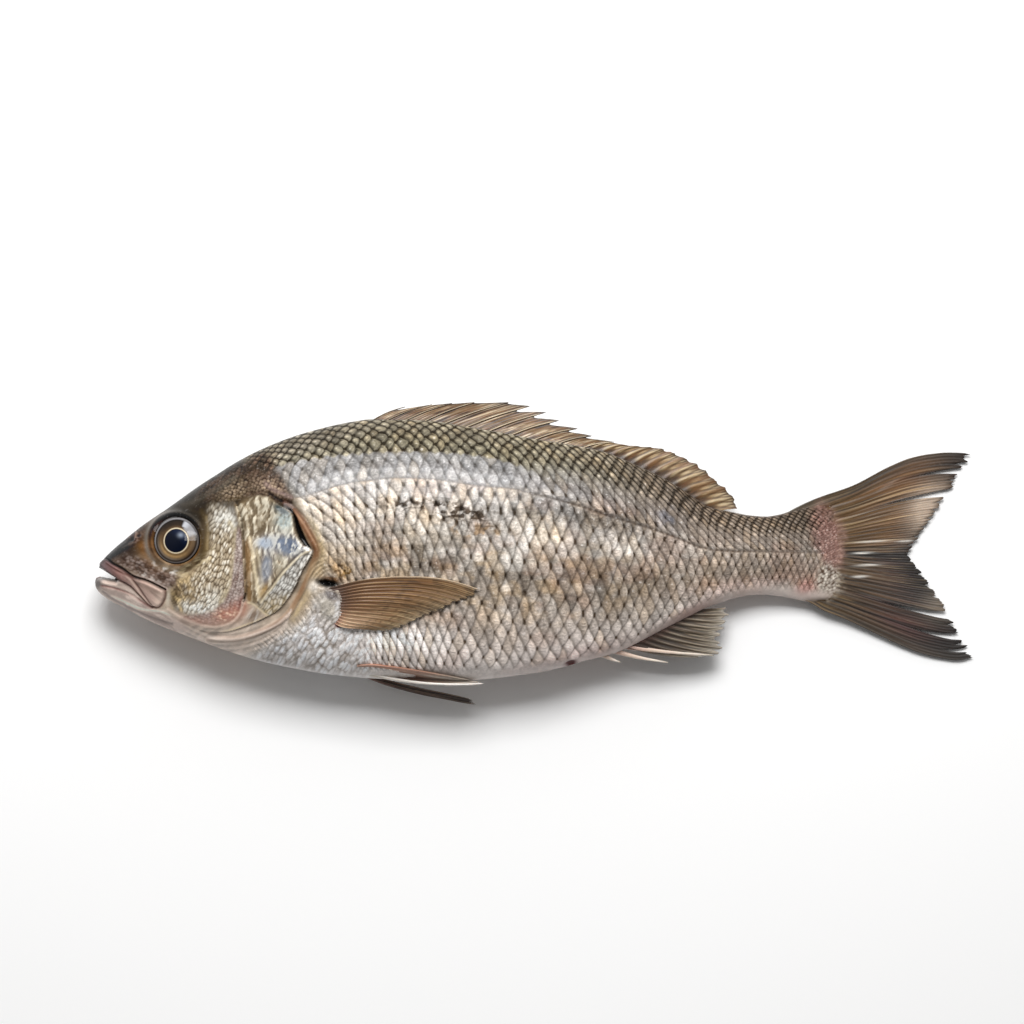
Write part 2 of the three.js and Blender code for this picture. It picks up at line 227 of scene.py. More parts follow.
TOP_V = [(95.2, 581.0), (96.3, 577.5), (98.2, 571.0), (99.8, 565.2), (102, 561.4), (105, 557.6), (110, 552.6), (116.8, 546.4), (127.5, 537.6), (140, 527.4), (152.5, 518.5), (165.9, 509.6), (179.3, 500), (196, 488), (216, 475), (236, 462.4), (256, 451.8), (276, 443), (296, 435.6), (316, 429.8), (336, 424.8), (356, 421), (371, 419.2), (387, 419.6), (404, 419.8), (423, 420.4), (440.7, 422), (458.6, 425.2), (476.4, 428.2), (494.3, 431.2), (512, 434.5), (530, 438), (560, 442.8), (587, 447.6), (605, 452), (622.9, 459), (640.7, 467), (658.6, 475.4), (676.4, 485.4), (694.3, 497.6), (706.8, 506), (730, 511.6), (752, 515.6), (766, 516.5), (780, 514.4), (794, 509.6), (808, 505.4), (820, 502.8), (830, 502.5), (838, 505.0), (845, 513), (850, 530), (852, 550)]
BOTTOM_V = [(95.2, 583.0), (96.2, 587.4), (98, 590.6), (100.7, 593.5), (105, 597.0), (112, 601.5), (128, 609.4), (144, 618), (160, 625.4), (175.7, 631.7), (191.6, 637.6), (207.6, 643.7), (223.5, 649.4), (239.4, 654.8), (255.4, 659.6), (271.3, 663.6), (287.3, 667), (303, 670), (319, 673), (335, 675), (348, 676.4), (366, 678), (390, 679.2), (420, 679.9), (450, 680.1), (475, 680), (487.5, 679), (503, 677.3), (520, 675), (540, 672.2), (554, 669.3), (568, 665.9), (582, 661.5), (596, 658.1), (613, 653.8), (627, 648.2), (645, 639), (666, 627.9), (687, 617.2), (705.6, 608), (722.4, 602), (736.4, 597.7), (750, 595.2), (762, 594.6), (775, 595.6), (790, 598.0), (805, 601.4), (818, 603.4), (828, 603.4), (836, 600.5), (844, 592), (849, 576), (852, 552)]
HALF_V = [(95.2, 0), (96.2, 6.0), (98, 10.5), (103, 18), (112, 24), (125, 30.5), (145, 37.5), (175, 45), (215, 52), (260, 57), (310, 60), (370, 60.5), (440, 57.5), (510, 52), (580, 44.5), (640, 36.5), (690, 28.5), (730, 22.3), (766, 18), (800, 12.0), (820, 7.6), (835, 4.4), (846, 2.6), (852, 1.6)]
WIDEST = 0.54
BACK_POWER, BELLY_POWER = 1.2, 1.04


def column_x(px):
    """Side-view x of a view column, on the middle plane."""
    x = np.asarray(px, float) * 0 + 0.0
    for _ in range(3):
        x, _y = from_view(px, 512, middle_z(x))
    return x


def outline(rows):
    rows = np.asarray(rows, float)
    x = column_x(rows[:, 0])
    _, y = from_view(rows[:, 0], rows[:, 1], middle_z(x))
    return Curve(np.c_[x, y])


top_y, bottom_y = outline(TOP_V), outline(BOTTOM_V)
half_t = Curve(np.c_[column_x(np.array(HALF_V)[:, 0]), np.array(HALF_V)[:, 1] * UNIT])
LINE_V = [(262, 507), (278, 503.5), (290.7, 499.6), (315.7, 492.5), (333.6, 487), (351.4, 482.7), (369.3, 480.4), (387, 478.2), (405, 477.9), (422.9, 478.6), (440.7, 480), (458.6, 482.7), (476.4, 485.4), (494.3, 487), (512, 488.6), (530, 493), (551, 498), (578, 505.4), (605, 514.3), (622.9, 520), (640.7, 525), (658.6, 531), (676.4, 537.5), (694.3, 545), (712, 549.5), (735, 551), (760, 551.3), (815, 552.5), (852, 553)]


def line_curve():
    rows = np.asarray(LINE_V, float)
    x = column_x(rows[:, 0])
    z = middle_z(x) + half_t(x) * 0.9
    x2, y = from_view(rows[:, 0], rows[:, 1], z)
    return Curve(np.c_[x2, y])


line_y = line_curve()


def sections(xs, rows):
    """Trunk surface on a grid: for each x, points even along the girth from belly to back."""
    a = np.linspace(-math.pi / 2, math.pi / 2, 361)
    sa, ca = np.sin(a), np.clip(np.cos(a), 0, 1)
    top, bot, half = top_y(xs)[:, None], bottom_y(xs)[:, None], half_t(xs)[:, None]
    wide = bot + (top - bot) * WIDEST
    y = wide + np.where(sa > 0, top - wide, wide - bot) * sa
    side = half * np.where(sa > 0, ca**BACK_POWER, ca**BELLY_POWER)
    cum = np.concatenate([np.zeros((len(xs), 1)), np.cumsum(np.hypot(np.diff(y, axis=1), np.diff(side, axis=1)), axis=1)], axis=1)
    f = np.linspace(0, 1, rows)
    Y, SD, G = (np.zeros((len(xs), rows)) for _ in range(3))
    yl = line_y(xs)
    for i in range(len(xs)):
        s = f * cum[i, -1]
        Y[i] = np.interp(s, cum[i], y[i])
        SD[i] = np.interp(s, cum[i], side[i])
        G[i] = s - np.interp(yl[i], y[i], cum[i])
    SD[:, 0] = SD[:, -1] = 0.0
    L = np.repeat(cum[:, -1:], rows, axis=1)
    return dict(X=np.repeat(xs[:, None], rows, axis=1), Y=Y, S=SD, G=G, L=L, F=np.repeat(f[None, :], len(xs), axis=0))


def flank(x, y):
    """Half thickness at a point of the side view."""
    top, bot = top_y(x), bottom_y(x)
    wide = bot + (top - bot) * WIDEST
    t = np.clip(np.where(y > wide, (y - wide) / np.maximum(top - wide, 1e-3), (wide - y) / np.maximum(wide - bot, 1e-3)), 0, 1)
    return half_t(x) * (1 - t * t) ** np.where(y > wide, BACK_POWER / 2, BELLY_POWER / 2)


# =====================================================================================
# Scale lattice
# =====================================================================================
COLUMN_W = [(95, 6.5), (240, 7.5), (290, 10.2), (340, 11.6), (400, 12.8), (480, 13.4), (560, 12.8), (640, 11), (700, 9.6), (760, 7.8), (815, 6.4), (846, 5.2)]
ROW_H = [(95, 8), (240, 9.5), (290, 12.5), (340, 14), (400, 15), (500, 15.4), (600, 13.5), (700, 10), (760, 8), (815, 6.5), (846, 5.5)]
cw = np.asarray(COLUMN_W, float)
col_w = Curve(np.c_[column_x(cw[:, 0]), cw[:, 1] * UNIT])
rh = np.asarray(ROW_H, float)
row_h = Curve(np.c_[column_x(rh[:, 0]), rh[:, 1] * UNIT * 1.04])
_xs = np.linspace(-200, 150, 1401)
_cum = np.concatenate([[0], np.cumsum(0.25 / col_w(_xs[:-1] + 0.125))])
LEAN_UP = Curve([(-95, 0.30), (-60, 0.16), (-20, 0.22), (20, 0.42), (50, 0.62), (80, 0.62), (118, 0.4)])
LEAN_DOWN = Curve([(-95, 0.75), (-75, 0.55), (-50, 0.22), (-20, 0.05), (40, 0.0), (90, -0.1), (118, -0.15)])
FREE_K = 1.35
_w = np.linspace(0, 1.05, 106)
FINE_UP = np.interp(_w, [0, 0.28, 0.48, 0.62, 1.05], [0.86, 0.80, 0.52, 0.44, 0.40])
FINE_DOWN = np.interp(_w, [0, 0.55, 0.85, 1.05], [1.0, 0.97, 0.78, 0.70])


def rows_to(w, fine):
    """Rows counted from the lateral line out to w, per unit of w."""
    total = np.concatenate([[0], np.cumsum(0.01 / (0.5 * (fine[:-1] + fine[1:])))])
    return np.interp(w, _w, total) / np.maximum(w, 1e-6)


def lattice(x, g, w):
    lean = np.where(g > 0, LEAN_UP(x) * g, LEAN_DOWN(x) * g)
    wob = (fbm(x / 16, g / 16, 3) - 0.5) * 1.6
    wob2 = (fbm(x / 13, g / 13, 31) - 0.5) * 1.4
    near_u = fbm(x / 4.6, g / 5.5, 37, 2) - 0.5
    near_v = fbm(x / 4.6, g / 5.5, 41, 2) - 0.5
    u = np.interp(x + lean + wob * 1.2, _xs, _cum) + np.where(g > 0, lerp(0.30, 0.46, sstep(0.1, 0.5, w)), 0.30) * near_u
    aw = np.clip(np.abs(w), 0.01, 1.05)
    v = g / row_h(x) * np.where(g > 0, rows_to(aw, FINE_UP), rows_to(aw, FINE_DOWN)) + wob2 * 0.24 + 0.5 + np.where(g > 0, lerp(0.34, 0.50, sstep(0.1, 0.5, w)), 0.34) * near_v
    return u, v


def scale_cell(u, v):
    """For each point: distance ahead of its scale's free edge, cross place -1..1, id."""
    j0 = np.floor(v)
    ta = v - j0
    pa = 0.5 * np.mod(j0, 2)
    ea, eb = 0.5 * (1 - ta**FREE_K), 0.5 * (1 - (1 - ta) ** FREE_K)
    ca = np.ceil(u - ea - pa) + pa
    cb = np.ceil(u - eb - (0.5 - pa)) + (0.5 - pa)
    is_a = ca < cb
    c = np.minimum(ca, cb)
    e = np.where(is_a, ea, eb)
    t = np.where(is_a, ta, ta - 1)
    j = j0 + np.where(is_a, 0, 1)
    return c + e - u, t, hash01(c * 2, j, 77), c, j


def scale_height(u, v):
    d, t, rid, _, _ = scale_cell(u, v)
    w = np.maximum(1 - np.abs(t) ** 1.15, 0.05)
    r = np.clip(d / w, 0, 1)
    pad = np.sqrt(np.clip(4 * r * (1 - r), 0, 1)) * (1 - np.abs(t) ** 2.2)
    plate = (1 - np.clip(d, 0, 1)) * (1 - 0.35 * t * t)
    # pits where four scales meet
    j0 = np.floor(v)
    pit = 0.0
    for row in (0, 1):
        q = u - 0.5 * np.mod(j0 + row, 2)
        ga = np.abs(q - np.floor(q) - 0.5)
        pit = np.maximum(pit, np.exp(-((ga / 0.15) ** 2) - ((v - j0 - row) / 0.36) ** 2))
    return 0.66 * pad + 0.42 * plate - 0.42 * pit + 0.16 * (rid - 0.5)


# =====================================================================================
# Colour helpers
# =====================================================================================
def ramp(w, stops):
    """Colour along w through (w, r, g, b) stops."""
    stops = sorted(stops)
    xs = [s[0] for s in stops]
    cols = np.array([lin(*s[1:]) for s in stops])
    return np.stack([np.interp(w, xs, cols[:, k]) for k in range(3)], axis=-1)


def over(c, col, m):
    return c * (1 - m[:, None]) + np.asarray(col)[None, :] * m[:, None]


def times(c, k, m):
    return c * (1 - m[:, None] * (1 - np.asarray(k, float)[None, :]))


def turned(px, py, deg, sx, sy):
    c, s = np.cos(np.radians(deg)), np.sin(np.radians(deg))
    return (px * c + py * s) / sx, (-px * s + py * c) / sy


def beads(px, py, deg, sx, sy, seed, jitter=0.72):
    """Small rounded scales or warts: crest, gap and a random number for each."""
    x, y = turned(px, py, deg, sx, sy)
    w = fbm(px / 9, py / 9, seed + 40) - 0.5
    f1, e, rid = cells(x + w * 0.55, y - w * 0.45, seed, jitter)
    return np.clip(1 - (f1 / 0.66) ** 2, 0, 1), 1 - sstep(0.0, 0.34, e), rid


# =====================================================================================
# Tail fin: its edges, its rays and its colours
# =====================================================================================
TAIL_UP = Path([(93, 12.6), (99, 16.4), (107.9, 20.6), (122.6, 25.8), (137.2, 33.3), (145, 36.4), (152.3, 37.9), (159.6, 38.5), (165.4, 38.3), (168.8, 37.3)])
TAIL_LOW = Path([(93, -13.6), (99, -16.0), (106.3, -19.1), (111.5, -22.1), (118.9, -25.0), (126.3, -28.4), (133.8, -32.0), (141.1, -35.4), (148.4, -38.3), (155.8, -40.2), (163.2, -41.2), (169.6, -40.0)])
TAIL_MID = Path([(104, -0.4), (118, -0.6), (130, -0.5), (144.0, -0.4)])
TAIL_SLITS = [(0.05, 0.035, 0.008), (0.082, 0.20, 0.013), (0.125, 0.03, 0.007), (0.19, 0.36, 0.019), (0.235, 0.035, 0.006), (0.27, 0.03, 0.006), (0.315, 0.03, 0.006), (0.36, 0.03, 0.006), (0.41, 0.04, 0.007), (0.455, 0.06, 0.008), (0.535, 0.03, 0.006), (0.60, 0.03, 0.006), (0.655, 0.03, 0.006), (0.71, 0.03, 0.006), (0.80, 0.42, 0.019), (0.845, 0.04, 0.007), (0.90, 0.26, 0.015), (0.935, 0.04, 0.007), (0.962, 0.12, 0.010)]
TAIL_RAYS = 19
_r = np.linspace(0, 1, 240)


def notch(a, at, width):
    return np.clip(1 - np.abs(a - at) / width, 0, 1)


def ray_profile(A, R, count, split_at=0.45):
    """0 in the web, 1 on a ray's crest; rays split in two towards the tip."""
    p = A * count
    one = 0.5 + 0.5 * np.cos(2 * math.pi * p)
    two = 0.5 + 0.5 * np.cos(4 * math.pi * p)
    four = 0.5 + 0.5 * np.cos(8 * math.pi * p)
    k1 = sstep(split_at - 0.15, split_at + 0.15, R)
    k2 = sstep(split_at + 0.15, split_at + 0.4, R)
    return lerp(lerp(one, two, k1), four, k2)


def tail_ar(x, y):
    """Where a side-view point lies on the tail fin: a across the rays, r along them."""
    ux, lx = TAIL_UP(_r)[0], TAIL_LOW(_r)[0]
    up = y > -0.5
    r_edge = np.where(up, np.interp(x, ux, _r), np.interp(x, lx, _r))
    r_mid = (x - 104) / 40
    k = np.full(x.shape, 0.5)
    r = k
    for _ in range(5):
        r = np.clip(r_mid * (1 - k) + r_edge * k, 0, 1)
        ey = np.where(up, TAIL_UP(r)[1], TAIL_LOW(r)[1])
        my = TAIL_MID(r)[1]
        k = np.clip((y - my) / np.where(up, np.maximum(ey - my, 0.1), np.minimum(ey - my, -0.1)), 0, 1)
    return np.where(up, 0.5 - 0.5 * k, 0.5 + 0.5 * k), r


def tail_colour(a, r, px, py):
    warp = a + 0.055 * (fbm(a * 8, r * 1.3, 409) - 0.5)
    ray = ray_profile(warp, r, TAIL_RAYS)
    s1 = sstep(0.28, 0.72, fbm(warp * 105, r * 1.8, 411))
    s2 = vnoise(warp * 250, r * 3.0, 413)
    s3 = vnoise(warp * 36, r * 1.5, 415)
    thin_dark = sstep(0.72, 0.95, 1 - np.abs(2 * vnoise(warp * 62, r * 1.1, 417) - 1))
    thin_pale = sstep(0.78, 0.97, 1 - np.abs(2 * vnoise(warp * 80, r * 1.4, 419) - 1))
    up = sstep(0.54, 0.42, a)
    c = ramp(r, [(0.0, 98, 84, 68), (0.2, 104, 86, 62), (0.45, 124, 95, 62), (0.7, 118, 91, 62), (0.88, 90, 70, 52), (1.0, 56, 45, 38)]) * up[:, None]
    c = c + ramp(r, [(0.0, 98, 84, 66), (0.3, 98, 80, 60), (0.55, 88, 70, 54), (0.75, 66, 50, 42), (0.9, 42, 33, 30), (1.0, 24, 20, 19)]) * (1 - up)[:, None]
    c = over(c, lin(116, 78, 46), np.clip(blob(px, py, 898, 478, 40, 12, -24) * 0.9, 0, 1) * 0.6)
    c = over(c, lin(72, 43, 42), np.clip(blob(px, py, 900, 624, 36, 11, 28), 0, 1) * 0.7)
    c = c * (0.62 + 0.42 * s1 + 0.26 * s2 + (1 - up) * (0.50 * (s1 - 0.5) + 0.85 * (s2 - 0.5)))[:, None]
    c = over(c, lin(30, 23, 18), np.clip(0.40 * (1 - ray) * (0.20 + 0.85 * (1 - s1)) + 0.65 * thin_dark, 0, 1) * 0.80 * sstep(0.02, 0.2, r))
    c = over(c, lin(206, 178, 136), thin_pale * sstep(0.3, 0.7, s3) * 0.52 * (1 - 0.75 * sstep(0.80, 0.97, r)) * (0.75 + 0.25 * up) * sstep(0.05, 0.25, r))
    web = np.clip(blob(px, py, 930, 508, 17, 24, 35) * 1.5, 0, 1)
    c = over(c, lin(214, 200, 186), web * (0.35 + 0.6 * s2) * (1 - 0.7 * sstep(0.95, 1.0, r)) * 0.85)
    c = over(c, lin(168, 152, 134), np.clip(blob(px, py, 938, 606, 16, 14, 20), 0, 1) * (0.3 + 0.5 * s2) * 0.6)
    outer = sstep(0.075, 0.0, np.minimum(a, 1 - a))
    c = over(c, lin(66, 58, 50), outer * sstep(0.1, 0.5, r) * 0.75)
    c = over(c, lin(124, 120, 116), sstep(0.16, 0.02, a) * sstep(0.34, 0.05, r) * (0.45 + 0.5 * s1))
    c = over(c, lin(34, 29, 27), sstep(0.72, 1.0, r) * np.clip(sstep(0.16, 0.04, a) + sstep(0.80, 0.96, a), 0, 1) * 0.75)
    deep = sstep(0.80, 0.45, r)
    c = c * (1 - deep[:, None] * (1 - np.array([0.64, 0.60, 0.52])[None, :]))
    c = c * (1 + (1 - deep)[:, None] * np.array([0.02, -0.07, -0.16])[None, :] * up[:, None])
    # the middle rays: nearly black webs, wet white glints on their crests
    mid = np.exp(-(((a - 0.485) / 0.06) ** 2)) * sstep(0.12, 0.35, r)
    c = over(c, lin(24, 18, 15), mid * (1 - s1) * 0.9)
    for gx, gy, rx in ((872, 541.5, 15), (862, 553.0, 9), (868, 565.0, 11), (860, 576.5, 7), (905, 541, 8), (884, 488, 8), (892, 482, 10)):
        g = np.clip(blob(px, py, gx, gy, rx, 1.05, -3 if gy > 500 else -28) * 1.3, 0, 1)
        c = over(c, lin(238, 234, 226), g * (0.3 + 0.7 * s2) * (0.85 if gy > 500 else 0.12))
    return c


def root_grains(C, px, py):
    """Fine scales over the rays' beginnings: reddish above, a pale beaded patch below."""
    n1 = fbm(px / 9, py / 8, 461) - 0.5
    r1, r1g, r1r = beads(px, py, -28, 3.6, 2.2, 163)
    red = np.clip(blob(px, py, 828, 535, 13, 29, -14) * 1.4 + n1 * 1.0, 0, 1) * sstep(0.10, 0.5, blob(px, py, 828, 535, 17, 32, -14))
    red = np.clip(red + 0.7 * np.clip(blob(px, py, 832, 558, 8, 10) * 1.2, 0, 1), 0, 1)
    C = over(C, lin(146, 108, 97), red * 0.72)
    # painted highlight on the grains' crests
    C = over(C, lin(198, 164, 148), red * r1 * sstep(0.2, 0.9, r1r) * 0.50)
    C = over(C, lin(92, 62, 54), red * r1g * 0.55)
    low = np.clip(blob(px, py, 806, 587, 11, 7, -20) * 1.3, 0, 1)
    C = over(C, lin(180, 124, 112), low * 0.6)
    q1, q1g, q1r = beads(px, py, -35, 3.6, 2.7, 165)
    pale = np.clip(blob(px, py, 828, 579, 11.5, 13.5, -18) * 2.2 - 0.25 + n1 * 0.8, 0, 1)
    C = over(C, lin(84, 66, 52), pale * 0.85)
    C = over(C, lin(236, 224, 204), pale * q1 * (0.35 + 0.65 * q1r))
    return C, np.clip(red + pale, 0, 1) * (0.6 * r1 + 0.6 * q1 * pale)


# =====================================================================================
# Painting the skin: colour, relief and masks at every vertex
# =====================================================================================
EYE_V = (176.6, 540.6)
MOUTH_V = [(84, 548), (98.2, 563.8), (98.9, 567.6), (103.4, 570.0), (110, 573.9), (117.6, 578.3), (118.8, 579.7), (112, 578.8), (104, 577.2), (99.5, 576.6), (96.6, 577.8), (84, 578.5)]
LIP_GROOVE = [(106.4, 558.0), (112, 563.0), (122, 568.8), (133, 576.6), (145.3, 580.4), (155, 584.8), (164.6, 589.8)]
LIP_FOLD = [(107.5, 564.5), (118.4, 571.0), (129.8, 576.2), (138.5, 586.0), (145.3, 595.8), (150, 602), (154.2, 606.9)]
LIP_BELOW = [(119.5, 580.6), (130, 586.2), (139, 595.2), (147, 603.6), (152.0, 607.6)]
LIP_END = [(164.6, 589.8), (165.6, 595.8), (162.9, 603.2), (159.0, 607.4), (152.0, 607.6)]
LIP_PLATE = LIP_GROOVE + LIP_END[1:] + LIP_BELOW[::-1][1:] + [(110, 573.9), (98.9, 567.6), (98.4, 563.6), (102, 560)]
JAW = [(95.2, 580), (99.5, 576.6), (112, 578.8), (119.5, 580.6), (130, 586.2), (139, 595.2), (147, 603.6), (153, 609.2), (163, 611), (176, 618), (190, 630), (175.7, 633), (144, 619), (112, 603), (98, 592)]
CHEEK = [(208, 505), (214, 503), (226, 507), (233, 518), (236, 537), (233, 563), (230, 588), (224, 600), (213, 612), (187, 616), (172, 608), (170, 592), (178, 580), (198, 567), (210, 552), (209, 527)]
PREOP_LINE = [(236, 503), (240, 514), (242.6, 530), (244.2, 560), (245.6, 590), (244, 600)]
PREOP_LOW = [(244, 600), (240, 613), (232, 622), (219, 626.5), (205, 626), (192, 621.5), (180, 616.5), (168, 609)]
FLANGE = [(238, 528), (242.6, 530), (244.2, 560), (245.6, 590), (243, 604), (233, 617), (214, 624), (196, 622), (182, 617), (196, 615), (213, 612), (224, 602), (230.5, 588), (234, 563), (236.3, 537)]
COVER = [(241, 512), (247, 501), (257, 496), (268, 498), (279, 505), (291.5, 513.5), (294, 528), (297, 538), (303, 545.5), (309, 549), (306, 553), (300, 556.5), (285.5, 571.5), (273, 587), (261, 602), (254, 604), (247, 600), (245.6, 590), (244.2, 560), (242.6, 530)]
COVER_EDGE = [(262, 491), (269, 496.5), (279, 505), (291.5, 513.0), (294.3, 528), (297.5, 538), (303, 545), (312.5, 550.5), (309.5, 559), (301.8, 572), (293, 590.5), (280.5, 608), (269, 615.8), (250, 624.5), (226, 632), (204, 631)]
RIDGE = [(309, 550.5), (300.5, 555.7), (285.5, 570.7), (273, 587), (261, 602.5)]
SUBCOVER = [(312.5, 550.5), (309.5, 559), (301.8, 572), (293, 590.5), (280.5, 608), (269, 615.8), (263, 612), (256, 604), (261, 602.5), (273, 587), (285.5, 570.7), (300.5, 555.7)]
SUBEDGE = [(248, 602.5), (254, 604.5), (263, 612), (269, 615.8)]
SLIT = [(283, 504.5), (292, 509.0), (297.5, 517.5), (301.5, 528), (306.5, 539), (312.5, 549.7), (303, 546), (297.5, 538.5), (294.3, 528), (292.4, 514.5), (287, 508.8)]
WEB = [(285, 503.5), (293.5, 510.5), (302.5, 521.8), (309.5, 533.5), (315.5, 544.5), (317.5, 553), (312, 566.5), (305, 584), (297.5, 598.5), (287, 615), (268, 628), (240, 638), (208, 640)]
SHOULDER = [(294, 500), (306, 514), (316, 529), (322, 545), (323, 556), (319, 569), (311, 586.5), (303, 602), (293, 618)]
NAPE = [(200, 488), (214, 477), (236, 464.5), (256, 454), (266, 450.5), (272, 462), (282, 478), (294, 497), (292, 503), (282, 503), (268, 499), (254, 497), (243, 499), (228, 505), (208, 503), (196, 501)]
SCALES_FROM = [(232, 440), (246, 462), (266, 472), (288, 490), (299, 503), (313, 528), (322, 550), (321, 570), (312, 590), (306, 606), (296, 622), (262, 640), (240, 660)]


BODY_MID = [(1.0, 158, 154, 144), (0.95, 146, 140, 126), (0.88, 128, 120, 102), (0.7, 118, 110, 92), (0.5, 126, 120, 104), (0.3, 144, 139, 130), (0.12, 164, 158, 152), (0.0, 182, 175, 166), (-0.12, 206, 198, 186), (-0.24, 170, 160, 145), (-0.38, 136, 126, 113), (-0.55, 150, 138, 124), (-0.66, 178, 165, 151), (-0.78, 216, 203, 190), (-0.9, 234, 223, 211), (-1.0, 236, 225, 214)]
BODY_TAIL = [(1.0, 108, 98, 88), (0.85, 100, 88, 75), (0.5, 118, 106, 93), (0.15, 142, 130, 117), (0.0, 164, 151, 136), (-0.2, 166, 152, 137), (-0.5, 146, 133, 117), (-0.75, 206, 194, 180), (-1.0, 228, 212, 199)]
BODY_FRONT = [(1.0, 140, 137, 132), (0.92, 122, 117, 106), (0.8, 106, 98, 83), (0.6, 118, 111, 99), (0.4, 150, 145, 138), (0.1, 182, 177, 170), (0.0, 184, 176, 166), (-0.15, 204, 193, 178), (-0.5, 184, 171, 155), (-0.75, 220, 208, 196), (-1.0, 238, 229, 219)]


def hair(px, py, deg, length, width, seed):
    """Streaks along a direction, 0..1 with a spread about a half."""
    x, y = turned(px, py, deg, length, width)
    return sstep(0.25, 0.75, fbm(x, y, seed, 2))


def stroke(px, py, pts, width):
    d, s, t = seg(px, py, pts, smooth=True)
    return np.exp(-((d / width) ** 2)), s, t


def head(X, Y, F, c, h, bd, td, behind, nm, nf):
    """The head's plates, small scales, folds and openings, over what is there."""
    ahead = sstep(6, -8, behind)
    n2 = vnoise(X / 2.3, Y / 2.3, 141)
    XW = X + 4.0 * (fbm(X / 11, Y / 11, 183, 2) - 0.5)
    YW = Y + 4.0 * (fbm(X / 11, Y / 11, 187, 2) - 0.5)
    k1, k1g, k1r = beads(XW, YW, 112, 6.6, 2.6, 181, 0.75)
    k2, k2g, k2r = beads(X, Y, 20, 3.4, 2.7, 191)
    k3, k3g, k3r = beads(XW, YW, 122, 7.0, 2.7, 195, 0.8)
    base = ramp(F, [(0.0, 222, 208, 198), (0.14, 212, 196, 182), (0.3, 172, 155, 136), (0.55, 128, 111, 90), (0.74, 70, 59, 46), (0.84, 50, 44, 37), (0.93, 56, 53, 49), (1.0, 88, 85, 82)])
    c = c * (1 - ahead[:, None]) + base * ahead[:, None]
    c = c * (1 + (ahead * 0.45 * (hair(X, Y, -30, 12, 4, 143) - 0.5))[:, None])

    # nape: dark, with clusters of pale raised grains
    m = sstep(4, -5, poly_sd(X, Y, NAPE) + 6 * (nm - 0.5))
    c = over(c, lin(60, 49, 38), m * 0.85)
    c = over(c, lin(88, 70, 42), m * blob(X, Y, 232, 500, 18, 5, -8) * 0.9)
    g = np.clip(blob(X, Y, 232, 491, 15, 9, -20) + blob(X, Y, 272, 487, 18, 8, 12), 0, 1)
    c = over(c, lin(84, 66, 60), m * blob(X, Y, 276, 488, 22, 12, 25) * 0.8)
    c = over(c, lin(208, 184, 156), m * g * k2 * (0.25 + 0.75 * k2r) * 0.95)
    c = over(c, lin(124, 102, 88), m * (1 - g) * sstep(0.5, 0.9, hair(X, Y, -42, 7, 2.6, 147)) * 0.45)
    c = times(c, (0.4, 0.34, 0.28), m * k2g * 0.7)
    h += m * (0.30 * k2 + 0.15 * nf)
    e, s, t = stroke(X, Y, [(268, 492), (273, 495.8), (281, 500.4), (291, 502.6)], 1.5)
    c = times(c, (0.16, 0.12, 0.10), e * 0.95)
    h -= 0.7 * e
    e, s, t = stroke(X, Y, [(266, 484), (274, 490), (284, 494), (291, 497)], 2.2)
    c = over(c, lin(150, 128, 122), e * 0.6)
    # painted sheen: a paler grey band along the head's top edge
    top_edge_sheen = sstep(15, 4, td) * sstep(235, 170, X)
    c = over(c, lin(92, 89, 86), top_edge_sheen * 0.5)
    e, s, t = stroke(X, Y, [(150, 534), (160, 523), (180, 512), (205, 503)], 2.6)
    c = over(c, lin(62, 56, 50), e * 0.7)
    e, s, t = stroke(X, Y, [(165, 516), (185, 506), (210, 494), (235, 478)], 3.2)
    c = over(c, lin(112, 104, 92), e * 0.45)

    # snout
    m = sstep(3, -4, poly_sd(X, Y, [(97, 567), (103, 555), (128, 534), (147, 520), (150, 530), (141, 541), (128, 551), (112, 560), (107, 564), (99, 569)]))
    c = over(c, lin(52, 48, 47), m * 0.9)
    # painted highlight: a grey streak along the snout
    e, s, t = stroke(X, Y, [(109.8, 553.2), (118, 547.2), (126, 541.8)], 1.3)
    c = over(c, lin(140, 140, 142), e * 0.45)
    e, s, t = stroke(X, Y, [(104, 556.4), (112, 549.4), (120, 543.6), (129, 537.6)], 1.2)
    c = over(c, lin(34, 32, 32), e * 0.8)
    e, s, t = stroke(X, Y, [(106, 561.0), (113, 556), (121, 550), (131, 543.6), (142, 539)], 2.4)
    c = over(c, lin(36, 31, 30), e * 0.92)
    # painted highlight: a pale grey streak along the snout
    e, s, t = stroke(X, Y, [(122.5, 547.6), (129, 544.2), (136, 542.2)], 1.1)
    c = over(c, lin(150, 146, 142), e * 0.5)
    e, s, t = stroke(X, Y, [(100.3, 562.5), (104, 558.8), (107.5, 555.5)], 1.8)
    c = over(c, lin(60, 54, 56), e * 0.7)
    g = np.clip(blob(X, Y, 135, 537.4, 6.5, 4.6, -35) * 1.5, 0, 1)
    c = over(c, lin(74, 48, 42), g * 0.9)
    c = over(c, lin(206, 172, 156), g * sstep(0.45, 0.8, vnoise(X / 1.7, Y / 1.7, 151)) * 0.85)
    # painted shade: the nostrils are painted near black over their dents
    for nx_, ny_, r_ in ((132.0, 539.5, 2.0), (138.8, 535.4, 1.8)):
        m = blob(X, Y, nx_, ny_, r_ * 1.4, r_, -38)
        c = over(c, lin(18, 14, 14), np.clip(m * 1.5, 0, 1))
        h -= 0.8 * m
        h += 0.3 * blob(X, Y, nx_, ny_, r_ * 2.8, r_ * 2.2, -38)
    m = np.clip(blob(X, Y, 145.5, 546, 8.5, 9, -35) * 1.3, 0, 1)
    c = over(c, lin(122, 84, 46), m * 0.9)
    m = np.clip(blob(X, Y, 128, 552, 10, 4.5, 8) * 1.2, 0, 1)
    c = over(c, lin(66, 50, 42), m * 0.75)
